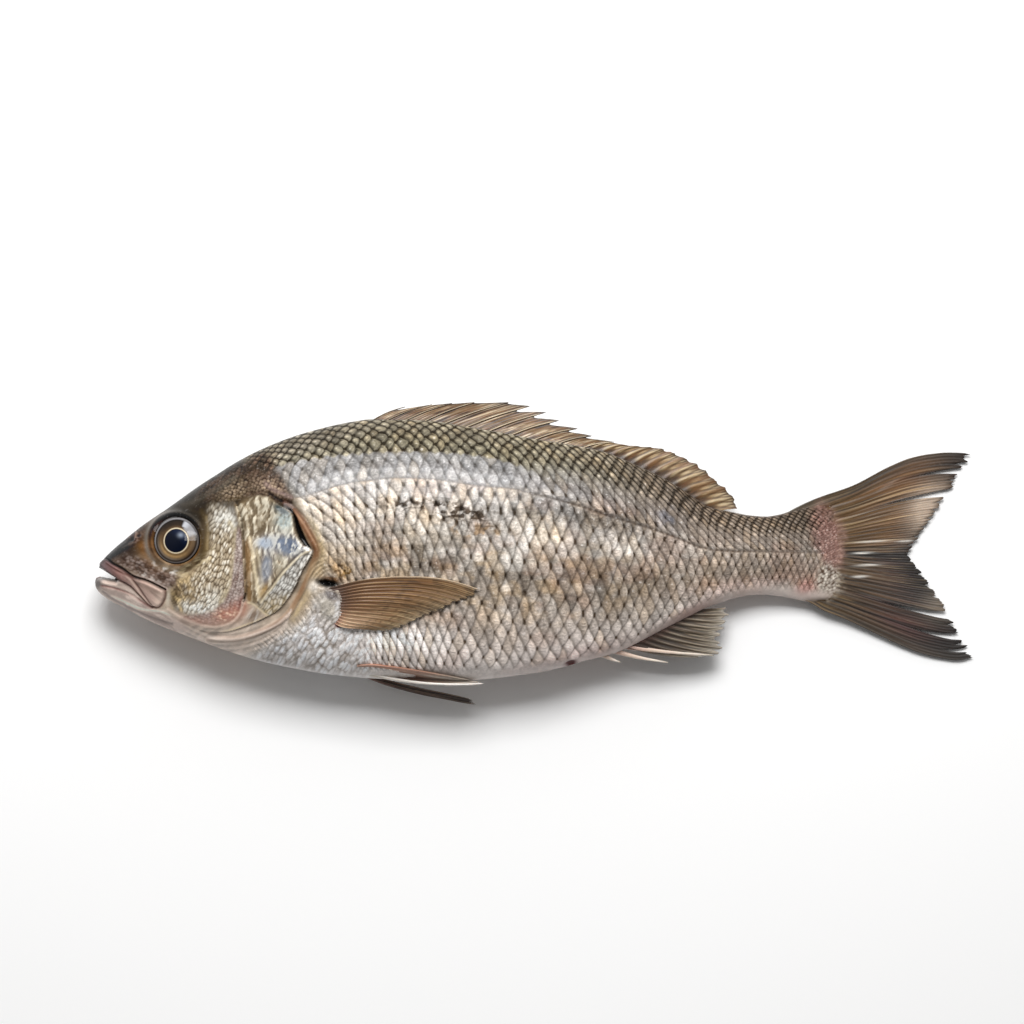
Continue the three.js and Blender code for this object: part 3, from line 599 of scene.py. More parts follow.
    # under the eye: mauve, flecked with white
    m = sstep(4, -4, poly_sd(X, Y, [(112, 560), (126, 554), (146, 560), (158, 568), (176, 573), (190, 576), (180, 586), (164, 588), (146, 579), (124, 568)]))
    c = over(c, lin(96, 78, 71), m * 0.85)
    c = over(c, lin(58, 44, 37), m * sstep(0.5, 0.8, hair(X, Y, 35, 7, 3, 153)) * 0.75)
    c = over(c, lin(190, 174, 166), m * k2 * sstep(0.35, 0.9, k2r) * 0.38)
    e, s, t = stroke(X, Y, [(152, 562), (160, 566.5), (168, 570.5), (176, 572)], 2.2)
    c = over(c, lin(232, 226, 218), e * sstep(0.3, 0.7, n2) * 0.85)
    e, s, t = stroke(X, Y, [(140, 573), (150, 578.5), (160, 583.5)], 2.6)
    c = over(c, lin(206, 196, 188), e * sstep(0.3, 0.8, n2) * 0.7)
    h += m * (0.18 * k2 + 0.1 * nm)
    # round the eye
    er = np.hypot(X - EYE_V[0], Y - EYE_V[1])
    et = np.arctan2(-(Y - EYE_V[1]), X - EYE_V[0])
    m = sstep(44, 29, er)
    c = over(c, lin(86, 70, 48), m * sstep(-0.3, 0.5, np.cos(et)) * 0.8)
    c = over(c, lin(58, 55, 51), m * sstep(0.1, 0.8, np.sin(et)) * 0.8)
    c = over(c, lin(92, 64, 40), m * sstep(0.2, 0.9, -np.cos(et)) * 0.7)
    c = c * (1 + (m * 0.5 * (hair(X, Y, 20, 9, 3, 155) - 0.5))[:, None])
    # painted reflection: a pale crescent on the upper left of the rim round the eye
    m = np.exp(-(((er - 30.5) / 2.4) ** 2)) * sstep(0.1, 0.8, np.cos(et - 2.75))
    c = over(c, lin(136, 128, 118), m * 0.75)
    m = np.exp(-(((er - 26.0) / (1.6 + 1.6 * np.clip(np.sin(et), 0, 1))) ** 2))
    c = over(c, lin(26, 22, 20), m * (0.70 + 0.28 * np.sin(et)))
    m = np.exp(-(((er - 24.4) / 1.2) ** 2)) * sstep(-0.9, 0.1, np.cos(et))
    c = over(c, lin(86, 56, 30), m * 0.8 * sstep(0.2, -0.4, np.sin(et)))
    m = np.exp(-(((er - 28.6) / 1.4) ** 2)) * sstep(0.1, 0.9, np.sin(et + 0.35))
    c = over(c, lin(104, 98, 90), m * 0.5)
    c = over(c, lin(26, 21, 19), sstep(23.6, 22.0, er))
    h += 0.70 * np.exp(-(((er - 26.5) / 4.2) ** 2)) - 0.35 * np.exp(-(((er - 31.5) / 3.0) ** 2))
    h -= 3.2 * sstep(24.2, 20.5, er)
    # behind the eye: smooth olive bands
    m = sstep(4, -3, poly_sd(X, Y, [(201, 510), (209, 515), (210, 545), (203, 560), (199, 572), (202, 548), (203, 528)]))
    c = over(c, lin(94, 78, 54), m * 0.85)
    e, s, t = stroke(X, Y, [(200, 516), (203.5, 530), (203, 548), (197, 564)], 1.6)
    c = over(c, lin(58, 46, 34), e * 0.6)
    c = over(c, lin(168, 146, 108), stroke(X, Y, [(206.5, 517), (208.5, 532), (207, 549)], 1.5)[0] * 0.6)

    # cheek: small raised scales in slanting rows, golden in front, silver behind and below
    m = sstep(3, -5, poly_sd(X, Y, CHEEK))
    left = sstep(206, 176, X) * sstep(560, 575, Y)
    c = over(c, lin(142, 126, 104), m * 0.9)
    stripe = hair(X, Y, 66, 9, 2.5, 157)
    c = over(c, lin(206, 180, 134), m * left * stripe * 0.9)
    c = over(c, lin(84, 66, 44), m * left * (1 - stripe) * 0.8)
    rest = m * (1 - left)
    c = over(c, lin(78, 62, 44), rest * k1g * 0.80)
    c = over(c, lin(204, 190, 166), rest * k1**1.3 * (0.35 + 0.6 * k1r))
    # painted highlight on the crests of the small scales
    c = over(c, lin(238, 232, 220), rest * k1**3 * sstep(0.5, 0.9, k1r) * 0.85)
    h += m * (0.30 * k1 - 0.10 * k1g)
    # painted highlights: white glints on the cheek
    for cx_, cy_, rx, ry, k in ((224, 518, 10, 10, 0.9), (231, 523, 5, 6, 0.95), (203, 609, 18, 5.5, 0.95), (190, 605, 10, 4, 0.7), (214, 598, 8, 10, 0.5)):
        b = np.clip(blob(X, Y, cx_, cy_, rx, ry) * 1.2, 0, 1)
        c = over(c, lin(240, 238, 230), b * k * (0.35 + 0.65 * k1) * sstep(0.1, 0.5, k1r + 0.2))
    e, s, t = stroke(X, Y, [(182, 574), (194, 566), (206, 560), (214, 552)], 5.0)
    c = over(c, lin(208, 190, 152), e * hair(X, Y, -20, 6, 2.2, 159) * 0.55)
    e, s, t = stroke(X, Y, [(230, 523), (236.5, 536), (234.8, 562), (230.5, 585), (222, 601)], 3.0)
    c = over(c, lin(206, 192, 160), e * (0.25 + 0.6 * k2) * 0.8)
    # patch above, between cheek and gill cover
    m = sstep(3, -3, poly_sd(X, Y, [(236, 506), (246, 499), (258, 497), (272, 500), (278, 510), (272, 524), (262, 532), (246, 532), (240, 524)]))
    st = hair(XW, YW, -56, 10, 3.2, 161)
    c = over(c, lin(150, 131, 102), m * 0.85)
    c = over(c, lin(232, 222, 200), m * sstep(0.45, 0.8, st) * (0.35 + 0.6 * k3r))
    c = over(c, lin(78, 60, 40), m * sstep(0.5, 0.2, st) * 0.75)
    h += m * 0.25 * st
    # hind border of the cheek plate: mauve, ticked with white
    m = sstep(2, -2, poly_sd(X, Y, FLANGE))
    c = over(c, lin(132, 112, 106), m * 0.9)
    c = over(c, lin(214, 203, 196), m * hair(X, Y, 100, 6, 2.0, 166) * 0.45)
    c = over(c, lin(212, 200, 192), m * k2 * sstep(0.6, 0.9, k2r) * 0.45)
    c = times(c, (0.4, 0.34, 0.32), m * k2g * 0.75)
    h += m * 0.15 * k2
    m2 = np.clip(blob(X, Y, 240, 609, 8, 9, 20) * 1.4, 0, 1)
    c = over(c, lin(172, 106, 90), m2 * (0.35 + 0.35 * nf))
    m2 = np.clip(blob(X, Y, 226, 615, 12, 7, -15) * 1.3, 0, 1)
    c = over(c, lin(190, 132, 112), m2 * 0.7)
    c = over(c, lin(236, 204, 178), m2 * k2 * sstep(0.4, 0.8, k2r) * 0.9)
    m2 = blob(X, Y, 200, 621, 24, 5, 4)
    c = over(c, lin(190, 156, 142), m2 * 0.8)
    e, s, t = stroke(X, Y, PREOP_LINE, 1.5)
    c = over(c, lin(30, 21, 17), e * sstep(0.1, 0.3, t) * 0.95)
    d, s, t = seg(X, Y, PREOP_LINE, smooth=True)
    h += np.where(s > 0, 0.65 * np.exp(-((d / 6) ** 2)), -0.6 * np.exp(-((d / 3.2) ** 2)))
    e, s, t = stroke(X, Y, PREOP_LOW, 1.3)
    c = over(c, lin(222, 200, 184), e * 0.6)
    d = seg(X, Y, PREOP_LOW, smooth=True)[0]
    c = times(c, (0.5, 0.42, 0.4), np.exp(-(((d - 2.4) / 1.3) ** 2)) * (s > 0) * 0.5)
    h += 0.35 * np.exp(-((d / 2.6) ** 2))

    # gill cover: golden ridges down its front, blue and silver behind
    sd = poly_sd(X, Y, COVER)
    m = sstep(2.0, -2.0, sd)
    wv = 0.6 * hair(XW, YW, 86, 10, 2.5, 163) + 0.4 * hair(XW, YW, 112, 8, 2.2, 167)
    wv = sstep(0.22, 0.78, wv)
    wv2 = hair(XW, YW, 126, 8, 2.8, 168)
    c = over(c, lin(158, 142, 118), m * 0.92)
    # the cover's wavy streaks, also raised in the relief: painted shade in their troughs and painted highlights on
    # their crests
    c = over(c, lin(84, 69, 50), m * sstep(0.45, 0.05, wv) * 0.62)
    c = over(c, lin(230, 221, 200), m * sstep(0.50, 0.95, wv) * (0.35 + 0.65 * wv2) * 0.8)
    c = over(c, lin(104, 88, 66), m * sstep(0.36, 0.12, wv2) * 0.4)
    c = over(c, lin(134, 106, 74), m * sstep(6, 2, np.abs(X - 247.5)) * sstep(534, 545, Y) * 0.85)
    e, s, t = stroke(X, Y, [(250.0, 538), (252.5, 552), (255, 572), (260.5, 597)], 1.7)
    c = over(c, lin(230, 214, 182), m * e * 0.65)
    e, s, t = stroke(X, Y, [(256.0, 545), (259, 560), (262, 578), (264, 590)], 1.4)
    c = over(c, lin(206, 192, 164), m * e * 0.6)
    b = np.clip(blob(X, Y, 266.5, 568, 5.5, 15, 8) * 1.4, 0, 1) * m
    c = over(c, lin(132, 142, 158), b * 0.85 * (0.6 + 0.4 * nf))
    b = np.clip(blob(X, Y, 266, 543, 9, 6.5, 0) * 1.3, 0, 1) * m
    c = over(c, lin(146, 162, 184), b * 0.8 * (0.35 + 0.65 * wv))
    b = np.clip(blob(X, Y, 288, 546, 16, 10, 18) * 1.4, 0, 1) * m
    c = over(c, lin(116, 131, 154), b * 0.85 * (0.80 + 0.20 * n2))
    c = over(c, lin(54, 66, 90), b * blob(X, Y, 297, 547, 9, 6, 25) * sstep(0.35, 0.6, n2) * 0.95)
    c = over(c, lin(226, 222, 210), b * sstep(0.7, 0.95, wv) * 0.6)
    b = np.clip(blob(X, Y, 285, 521, 8.5, 9, 0) * 1.4, 0, 1) * m
    c = over(c, lin(176, 190, 190), b * 0.85 * (0.5 + 0.5 * k2))
    b = np.clip(blob(X, Y, 283, 510, 10, 4.5, 20) * 1.4, 0, 1) * m
    c = over(c, lin(62, 74, 78), b * 0.9)
    b = np.clip(blob(X, Y, 280, 562, 10, 8, -30) * 1.2, 0, 1) * m
    c = over(c, lin(172, 166, 150), b * k1 * 0.8)
    b = np.clip(blob(X, Y, 264, 592, 4.5, 9, 24) * 1.2, 0, 1) * m
    c = over(c, lin(150, 116, 58), b * 0.7)
    c = over(c, lin(240, 236, 228), np.clip(blob(X, Y, 307.3, 548.8, 2.6, 1.8, 20) * 1.6, 0, 1))
    h += m * (0.26 * wv + 0.14 * wv2)
    ms = sstep(1.5, -1.5, poly_sd(X, Y, SUBCOVER))
    low_ = sstep(588, 604, Y)
    c = over(c, lin(134, 129, 122), ms * 0.92)
    c = over(c, lin(168, 148, 112), ms * low_ * 0.85)
    c = over(c, lin(222, 220, 214), ms * k3 * (0.3 + 0.7 * k3r) * (1 - 0.4 * low_))
    c = over(c, lin(66, 62, 58), ms * k3g * 0.62)
    h += ms * 0.18 * k3
    # the ridge: a painted highlight along its crest and painted shade along one side of it
    e, s, t = stroke(X, Y, RIDGE, 1.2)
    c = over(c, lin(214, 202, 176), e * 0.65)
    d, s, t = seg(X, Y, RIDGE, smooth=True)
    c = over(c, lin(52, 46, 40), np.exp(-(((d - 2.4) / 1.2) ** 2)) * (s > 0) * 0.65)
    h += 0.5 * np.exp(-((d / 2.2) ** 2))
    # its free edge stands proud, the slit opens behind it
    d, s, t = seg(X, Y, COVER_EDGE, smooth=True)
    rise = 0.95 * sstep(0.0, 0.12, t) * (1 - 0.85 * sstep(0.46, 0.62, t)) * (1 - sstep(0.82, 1.0, t))
    inner = s > 0
    h += np.where(inner, rise * np.exp(-((d / 22.0) ** 2)), -0.35 * np.exp(-((d / 4.0) ** 2)) * sstep(0, 0.1, t))
    c = over(c, lin(222, 204, 170), np.exp(-(((d - 1.4) / 0.9) ** 2)) * inner * sstep(0.70, 0.78, t) * (1 - sstep(0.86, 0.95, t)) * 0.8)
    c = over(c, lin(222, 204, 170), stroke(X, Y, SUBEDGE, 1.0)[0] * 0.75)
    dd, ds, dt = seg(X, Y, WEB, smooth=True)
    wide = 3.0 + 1.6 * sstep(0.04, 0.12, dt) * (1 - sstep(0.25, 0.4, dt))
    web = np.exp(-((dd / wide) ** 4)) * (~inner | (d < 0.8))
    webc = ramp(dt, [(0.0, 92, 70, 62), (0.10, 108, 76, 58), (0.22, 104, 68, 46), (0.32, 92, 58, 36), (0.42, 112, 78, 52), (0.55, 146, 118, 94), (0.7, 178, 156, 140), (1.0, 186, 170, 158)])
    c = c * (1 - (web * 0.95)[:, None]) + webc * (web * 0.95)[:, None]
    c = over(c, lin(206, 166, 134), np.exp(-(((dd) / 1.1) ** 2)) * (~inner) * sstep(0.03, 0.1, dt) * (1 - sstep(0.22, 0.3, dt)) * 0.5)
    h += 0.75 * web
    c = over(c, lin(66, 40, 26), np.exp(-(((dd - wide - 0.6) / 0.8) ** 2)) * (ds < 0) * (1 - sstep(0.3, 0.45, dt)) * 0.6)
    # painted shade just outside part of the cover's raised free edge
    c = over(c, lin(40, 25, 18), np.exp(-(((d - 1.2) / 1.2) ** 2)) * (~inner) * sstep(0.46, 0.52, t) * (1 - sstep(0.58, 0.72, t)) * 0.60)
    # painted shade: the gill opening behind the cover is painted near black over its dent
    slit = sstep(-0.2, -1.6, poly_sd(X, Y, SLIT))
    c = over(c, lin(12, 10, 9), slit)
    h -= 2.6 * slit
    d, s, t = seg(X, Y, SHOULDER, smooth=True)
    c = over(c, lin(206, 182, 138), np.exp(-((d / 3.6) ** 2)) * 0.6 * sstep(0.05, 0.3, t) * (0.5 + 0.5 * k1))
    h += 0.3 * np.exp(-((d / 3.5) ** 2))
    # wrinkled skin round the breast fin's root
    m = np.clip(blob(X, Y, 318, 572, 9, 13, 30) * 1.3, 0, 1)
    rr = np.hypot(X - 335, Y - 590)
    wr = 0.5 + 0.5 * np.sin(rr * 1.7 + 3 * nm)
    c = over(c, lin(184, 164, 134), m * 0.7)
    c = over(c, lin(108, 86, 60), m * (1 - wr) * 0.45)
    h += m * 0.2 * wr

    # folds of the gill membrane, under the cover and forward along the throat
    for k, off in enumerate((0.0, 5.0, 10.5, 16.0)):
        pts = [(289 - off * 0.3, 610 + off * 0.9), (276, 622 + off * 0.8), (258, 630 + off), (236, 636 + off * 0.9), (212, 635 + off * 0.9), (190, 626 + off * 0.8), (170, 617 + off * 0.7), (152, 612 + off * 0.6), (130, 601 + off * 0.5)]
        d, s, t = seg(X, Y, pts, smooth=True)
        # painted shade darkens each fold's crease; a painted highlight runs along one side of it
        c = times(c, (0.60, 0.52, 0.49), np.exp(-((d / 1.1) ** 2)) * (0.42 - 0.06 * k) * sstep(0.0, 0.1, t) * (1 - sstep(0.9, 1, t)))
        c = over(c, lin(222, 206, 194), np.exp(-(((d - 2.2) / 1.1) ** 2)) * 0.6 * (s < 0))
        h -= (0.15 - 0.02 * k) * np.exp(-((d / 1.6) ** 2))
        h += 0.08 * np.exp(-(((d - 2.8) / 1.8) ** 2))
    m = np.clip(blob(X, Y, 252.5, 617, 5, 9, 30) * 1.3, 0, 1)
    c = over(c, lin(216, 212, 206), m * hair(X, Y, -62, 9, 2.0, 165) * 0.9)
    c = over(c, lin(90, 70, 58), m * (1 - hair(X, Y, -62, 9, 2.0, 165)) * 0.5)

    # lower jaw
    m = sstep(2, -3, poly_sd(X, Y, JAW))
    c = over(c, lin(206, 188, 178), m * 0.88)
    c = over(c, lin(132, 112, 106), m * sstep(0.45, 0.9, hair(X, Y, 32, 16, 3.2, 211)) * 0.45)
    c = over(c, lin(88, 84, 84), np.clip(blob(X, Y, 97.5, 583, 5, 8) * 1.2, 0, 1) * 0.85)
    # painted highlight: a grey line along the lower jaw's top edge
    c = over(c, lin(142, 140, 138), stroke(X, Y, [(98.5, 578.6), (108, 579.2), (118.7, 580.6)], 1.5)[0] * 0.8)
    e = stroke(X, Y, [(102, 585.8), (115, 588.5), (130.9, 594.4), (142, 602), (152, 608.2)], 1.2)[0]
    c = over(c, lin(128, 84, 78), e * 0.75)
    h -= 0.25 * e
    c = over(c, lin(216, 196, 182), stroke(X, Y, [(104, 582.6), (116, 585), (128, 590.5), (137, 597)], 2.2)[0] * 0.6)
    # painted highlight: a pale line along the jaw's lower part
    c = over(c, lin(238, 222, 208), stroke(X, Y, [(112, 596.5), (125.3, 601.8), (142, 609.2), (160.9, 611.5), (170, 615)], 1.6)[0] * 0.8)
    e = stroke(X, Y, [(103, 592), (114, 600), (132, 609), (152, 617.5), (172, 624)], 1.5)[0]
    c = over(c, lin(120, 106, 102), e * 0.7)
    h -= 0.2 * e
    h += 0.3 * np.exp(-((seg(X, Y, [(99, 578), (112, 580.5), (121, 583)])[0] / 2.2) ** 2))
    # upper lip and jaw plate
    sd = poly_sd(X, Y, LIP_PLATE)
    m = sstep(1.2, -1.6, sd)
    ln = (X - 98) / 68.0
    lipc = ramp(ln, [(0.0, 98, 90, 92), (0.15, 116, 94, 94), (0.3, 138, 106, 100), (0.5, 164, 136, 128), (0.75, 186, 160, 148), (1.0, 200, 176, 162)])
    c = c * (1 - m[:, None]) + lipc * m[:, None]
    dgr = seg(X, Y, LIP_GROOVE, smooth=True)[0]
    c = over(c, lin(118, 102, 92), m * np.exp(-(((dgr - 4.5) / 3.0) ** 2)) * sstep(0.35, 0.6, ln) * 0.7)
    c = over(c, lin(214, 192, 176), m * blob(X, Y, 158, 600, 3.0, 7, 20) * 0.6)
    c = c * (1 + (m * 0.35 * (hair(X, Y, 40, 14, 2.4, 221) - 0.5))[:, None])
    h += m * 0.75 * sstep(-0.2, 3.0, -sd)
    # painted shade: the groove is painted near black; a painted highlight runs along one side of it
    e, s, t = stroke(X, Y, LIP_GROOVE, 1.25)
    c = over(c, lin(18, 12, 12), e * 0.97)
    h -= 0.95 * e
    d, s, t = seg(X, Y, LIP_GROOVE, smooth=True)
    c = over(c, lin(206, 186, 176), np.exp(-(((d - 2.4) / 1.0) ** 2)) * (s < 0) * sstep(0.3, 0.6, t) * 0.6)
    # painted shade along the lip's fold line, with a painted highlight beside it
    e, s, t = stroke(X, Y, LIP_FOLD, 1.0)
    c = over(c, lin(88, 58, 52), e * 0.7)
    h -= 0.35 * e
    d, s, t = seg(X, Y, LIP_FOLD, smooth=True)
    c = over(c, lin(212, 188, 172), np.exp(-(((d - 1.9) / 0.9) ** 2)) * (s > 0) * sstep(0.25, 0.5, t) * 0.65)
    for pts in (LIP_BELOW, LIP_END):
        e, s, t = stroke(X, Y, pts, 1.1)
        c = over(c, lin(104, 66, 58), e * 0.7)
        h -= 0.4 * e
    c = over(c, lin(206, 196, 180), np.clip(blob(X, Y, 168.2, 598, 1.9, 7, 6) * 1.2, 0, 1) * 0.75)
    # painted shadow: dark olive behind the upper jaw's hind end
    c = over(c, lin(78, 66, 48), np.clip(blob(X, Y, 174, 596, 3.5, 8, -12) * 1.2, 0, 1) * 0.6)
    mouth_d = poly_sd(X, Y, MOUTH_V)
    c = over(c, lin(110, 72, 66), sstep(2.0, 0.0, mouth_d) * 0.7)

    # breast fin's root: pale lobe, mauve shadow, and the black gap above it, painted as shade
    m = np.clip(blob(X, Y, 314, 586, 5, 6, 20) * 1.3, 0, 1)
    c = over(c, lin(224, 216, 206), m * 0.8)
    m = np.clip(blob(X, Y, 328, 607, 8, 13, -24) * 1.4, 0, 1)
    c = over(c, lin(190, 180, 162), m * 0.9)
    h += 0.9 * m
    m = np.clip(blob(X, Y, 332, 595, 8, 4.5, 28) * 1.4, 0, 1)
    c = over(c, lin(104, 96, 92), m * 0.9)
    c = over(c, lin(196, 190, 184), m * k2 * k2r * 0.6)
    m = np.clip(blob(X, Y, 342, 570, 12, 10, 15) * 1.3, 0, 1)
    c = over(c, lin(172, 134, 78), m * 0.8 * (0.5 + 0.5 * nf))
    c = over(c, lin(64, 42, 22), m * sstep(0.55, 0.7, n2) * 0.7)
    c = over(c, lin(96, 62, 30), np.clip(blob(X, Y, 331, 579.5, 9, 3.2, 8) * 1.6, 0, 1) * 0.85)
    # painted shade: the gap above the fin's root is painted black over its dent
    m = np.clip(blob(X, Y, 327.5, 584.0, 9, 3.0, 10) * 2.1, 0, 1)
    c = over(c, lin(7, 6, 7), m)
    h -= 1.6 * m
    c = over(c, lin(96, 30, 28), np.clip(blob(X, Y, 338, 625.4, 3.2, 1.8, 10) * 1.6, 0, 1))
    return c, h


def paint(px, py, x, y, g, L, f, near=True):
    """All skin features for flat arrays: colour, relief, masks and lattice."""
    n = px.size
    wpos = np.where(g > 0, g / np.maximum(g + L * (1 - f), 1e-3), g / np.maximum(-g + L * f, 1e-3))
    w = np.clip(wpos, -1, 1)
    n_big = fbm(px / 55, py / 40, 101)
    n_mid = fbm(px / 16, py / 14, 111)
    n_fine = fbm(px / 5, py / 5, 121)
    n_px = vnoise(px / 1.9, py / 1.9, 131)
    n_two = sstep(0.25, 0.75, fbm(px / 8, py / 6.5, 137))

    # ---------------------------------------------------------------- trunk colours
    mid, tail, front = ramp(w, BODY_MID), ramp(w, BODY_TAIL), ramp(w, BODY_FRONT)
    kt = sstep(540, 690, px)[:, None]
    kf = (1 - sstep(300, 400, px))[:, None]
    C = mid * (1 - kt) + tail * kt
    C = C * (1 - kf) + front * kf
    gold = 0.55 * sstep(0.45, 0.68, n_mid) * sstep(-0.85, -0.5, w) * (1 - sstep(0.0, 0.15, w)) * (1 - sstep(560, 720, px))
    C = over(C, lin(208, 172, 118), gold * 0.40)
    pale = sstep(0.5, 0.72, fbm(px / 22, py / 12, 139)) * sstep(-0.8, -0.3, w) * (1 - sstep(0.05, 0.2, w))
    C = over(C, lin(236, 228, 214), pale * 0.38 * (1 - sstep(640, 760, px)))
    warm = sstep(0.5, 0.7, fbm(px / 30, py / 22, 141)) * (1 - sstep(0.1, 0.3, w)) * sstep(330, 380, px)
    C = over(C, lin(158, 120, 98), warm * 0.24)
    shadow_row = sstep(455, 500, px) * (1 - sstep(600, 660, px)) * np.exp(-(((py - 509 - 0.10 * (px - 500)) / 12.0) ** 2))
    C = C * (1 - shadow_row * (0.30 + 0.30 * n_two))[:, None]
    C = over(C, lin(240, 232, 220), np.clip(blob(px, py, 515, 541, 34, 9, 6) + 0.8 * blob(px, py, 610, 545, 34, 8, 8), 0, 1) * (0.25 + 0.5 * n_two))
    C = C * (1 + 0.14 * blob(px, py, 755, 536, 46, 14, 4))[:, None]
    # painted light: the flank under the breast fin is lightened, offsetting the fin's shadow there
    C = over(C, lin(246, 238, 228), np.clip(blob(px, py, 400, 638, 46, 13, 4) * 1.2, 0, 1) * 0.8)
    ink = sstep(0.50, 0.62, fbm(px / 6.5, py / 4.2, 151))
    marks = np.clip(blob(px, py, 458, 512, 40, 8, 10) + 0.7 * blob(px, py, 402, 505, 22, 5, 0) + 0.8 * blob(px, py, 350, 572, 12, 7, 20), 0, 1) * ink
    C = over(C, lin(58, 44, 30), np.clip(marks * 1.5, 0, 0.9))
    amber = np.clip(blob(px, py, 476, 531, 30, 7, 8), 0, 1) * sstep(0.5, 0.65, fbm(px / 7, py / 7, 153))
    C = over(C, lin(146, 114, 74), np.clip(amber * 1.2, 0, 0.7))
    crack = sstep(0.86, 0.975, 1 - np.abs(2 * vnoise(px / 9.5, py / 5.5, 157) - 1)) * sstep(0.35, 0.6, vnoise(px / 14, py / 11, 159))
    C = over(C, lin(56, 44, 32), crack * np.clip(blob(px, py, 430, 512, 80, 24, 4) + 0.6 * blob(px, py, 600, 530, 90, 28, 8), 0, 1) * 0.75)
    row_d = blob(px, py, 645, 577, 60, 5, 2) * 0.5 + blob(px, py, 770, 572, 40, 4, -1) * 0.35
    C = over(C, lin(92, 74, 58), np.clip(row_d, 0, 1) * n_two)
    blue = blob(px, py, 668, 520, 14, 12, 20) * 0.5
    C = over(C, lin(104, 116, 134), blue * n_two)
    pink = blob(px, py, 575, 655, 60, 8, -14) * 0.5 + blob(px, py, 745, 585, 60, 9, -6) * 0.35 + blob(px, py, 690, 612, 30, 6, -28) * 0.7
    C = over(C, lin(192, 146, 134), np.clip(pink, 0, 1) * 0.7)
    vent = blob(px, py, 571, 663.5, 6, 2.6, -14) * (1.0 if near else 0.0)
    C = over(C, lin(92, 20, 18), np.clip(vent * 1.5, 0, 1))
    C = C * (1.06 - 0.16 * n_big)[:, None]
    line_d = np.abs(g) / UNIT
    line_m = np.exp(-((line_d / lerp(1.25, 1.6, sstep(520, 600, px))) ** 2)) * sstep(268, 292, px)
    bead_l = 0.6 + 0.4 * np.sin(px * 2 * math.pi / 5.5)
    C = times(C, (0.26, 0.21, 0.17), line_m * (0.45 + 0.55 * bead_l) * lerp(0.62, 1.0, sstep(500, 580, px)) * (1 - 0.35 * sstep(720, 780, px)))

    # ---------------------------------------------------------------- relief and masks
    H = np.zeros(n)
    sc_x, sc_side, _ = seg(px, py, SCALES_FROM)
    behind = np.where(sc_side < 0, sc_x, -sc_x)  # positive behind the start line
    SC = sstep(-4, 10, behind)
    belly_d = L * f / UNIT
    back_d = L * (1 - f) / UNIT
    bare = lerp(24, 13, sstep(470, 640, px)) + 7 * (n_mid - 0.5)
    SC = SC * sstep(-6, 9, belly_d - bare) * sstep(1, 6, back_d)
    root = sstep(812, 840, px + 16 * (n_fine - 0.5))
    chest = sstep(0, 14, behind) * (1 - sstep(345, 385, px + 20 * (n_mid - 0.5))) * sstep(590, 612, py)
    SC = SC * (1 - 0.9 * root) * (1 - chest) * (1 - 0.6 * line_m)
    amp = 0.60 * (row_h(x) / (15.5 * UNIT)) ** 1.1 * np.where(g > 0, np.interp(np.abs(w), _w, FINE_UP), np.interp(np.abs(w), _w, FINE_DOWN)) ** 0.7
    u, v = lattice(x, g, w)
    hh = 0.0
    for du, dv in ((-0.03, -0.02), (0.03, -0.02), (-0.03, 0.02), (0.03, 0.02)):
        hh = hh + 0.25 * scale_height(u + du, v + dv)
    H += amp * SC * hh
    H -= 0.12 * line_m * SC
    H -= 1.0 * vent
    # painted reflection: the band where the key lamp's reflection lies on the wet film, laid in as a pale tint with
    # weaker scale contrast; the same mask also sets the coat's gloss
    reflection_top = np.interp(px, [250, 265, 300, 340, 380, 420, 460, 490, 520, 550, 580], [474, 470, 461.5, 456.5, 453, 452.5, 454.5, 458, 467, 480, 495])
    jag = 3.4 * np.abs(2 * np.mod(u, 1.0) - 1)
    gloss_and_reflection_band = sstep(-0.8, 0.8, py - reflection_top + jag - 1.7) * sstep(-0.4, 0.5, g) * sstep(258, 282, px) * (1 - sstep(500, 556, px + 12 * (n_mid - 0.5)))
    above = sstep(1.2, -2.2, py - reflection_top + jag - 1.7) * (1 - sstep(505, 570, px)) * sstep(262, 285, px) * (g > 0)
    gloss_and_reflection_band = np.maximum(gloss_and_reflection_band, 0.22 * sstep(0.2, -0.05, w) * sstep(-0.7, -0.2, w))
    # above the painted reflection band the back is darker olive: its own darker colour, and painted shade where it
    # curves away from the light
    C = over(C, lin(118, 111, 91), above * sstep(0.72, 0.45, w) * 0.8)
    # painted reflection: the key lamp's reflection laid over the flank as a pale grey tint
    lies = gloss_and_reflection_band * (g > 0)
    C = over(C, lin(143, 140, 135), lies * (0.74 + 0.30 * (n_mid - 0.5)))
    C = over(C, lin(116, 116, 115), lies * sstep(0.5, 0.75, fbm(px / 4.5, py / 7, 143)) * 0.35)
    pig = 0.12 + 0.88 * sstep(0.30, 0.60, w) * (1 - 0.9 * sstep(0.3, 0.9, gloss_and_reflection_band)) + 0.18 * sstep(620, 720, px) * sstep(-0.2, 0.3, w)
    pig = np.maximum(pig, 0.9 * above)
    pig = pig + 0.18 * n_two * (1 - sstep(0.2, 0.5, w)) + 0.25 * ink * sstep(-0.35, -0.1, w) * (1 - sstep(0.1, 0.3, w))

    # the tail's root: the fin's rays begin under fine grains
    if (px > 780).any():
        ta_, tr_ = tail_ar(x, y)
        fin_c = tail_colour(ta_, tr_, px, py)
        on_fin = np.clip(sstep(822, 846, px + 10 * (n_fine - 0.5)) + sstep(11, 3, np.minimum(back_d, belly_d)) * sstep(796, 822, px), 0, 1)
        C = C * (1 - on_fin[:, None]) + fin_c * on_fin[:, None]
        C, rough_root = root_grains(C, px, py)
        SC = SC * (1 - np.clip(rough_root + on_fin, 0, 1))
        H += 0.14 * rough_root
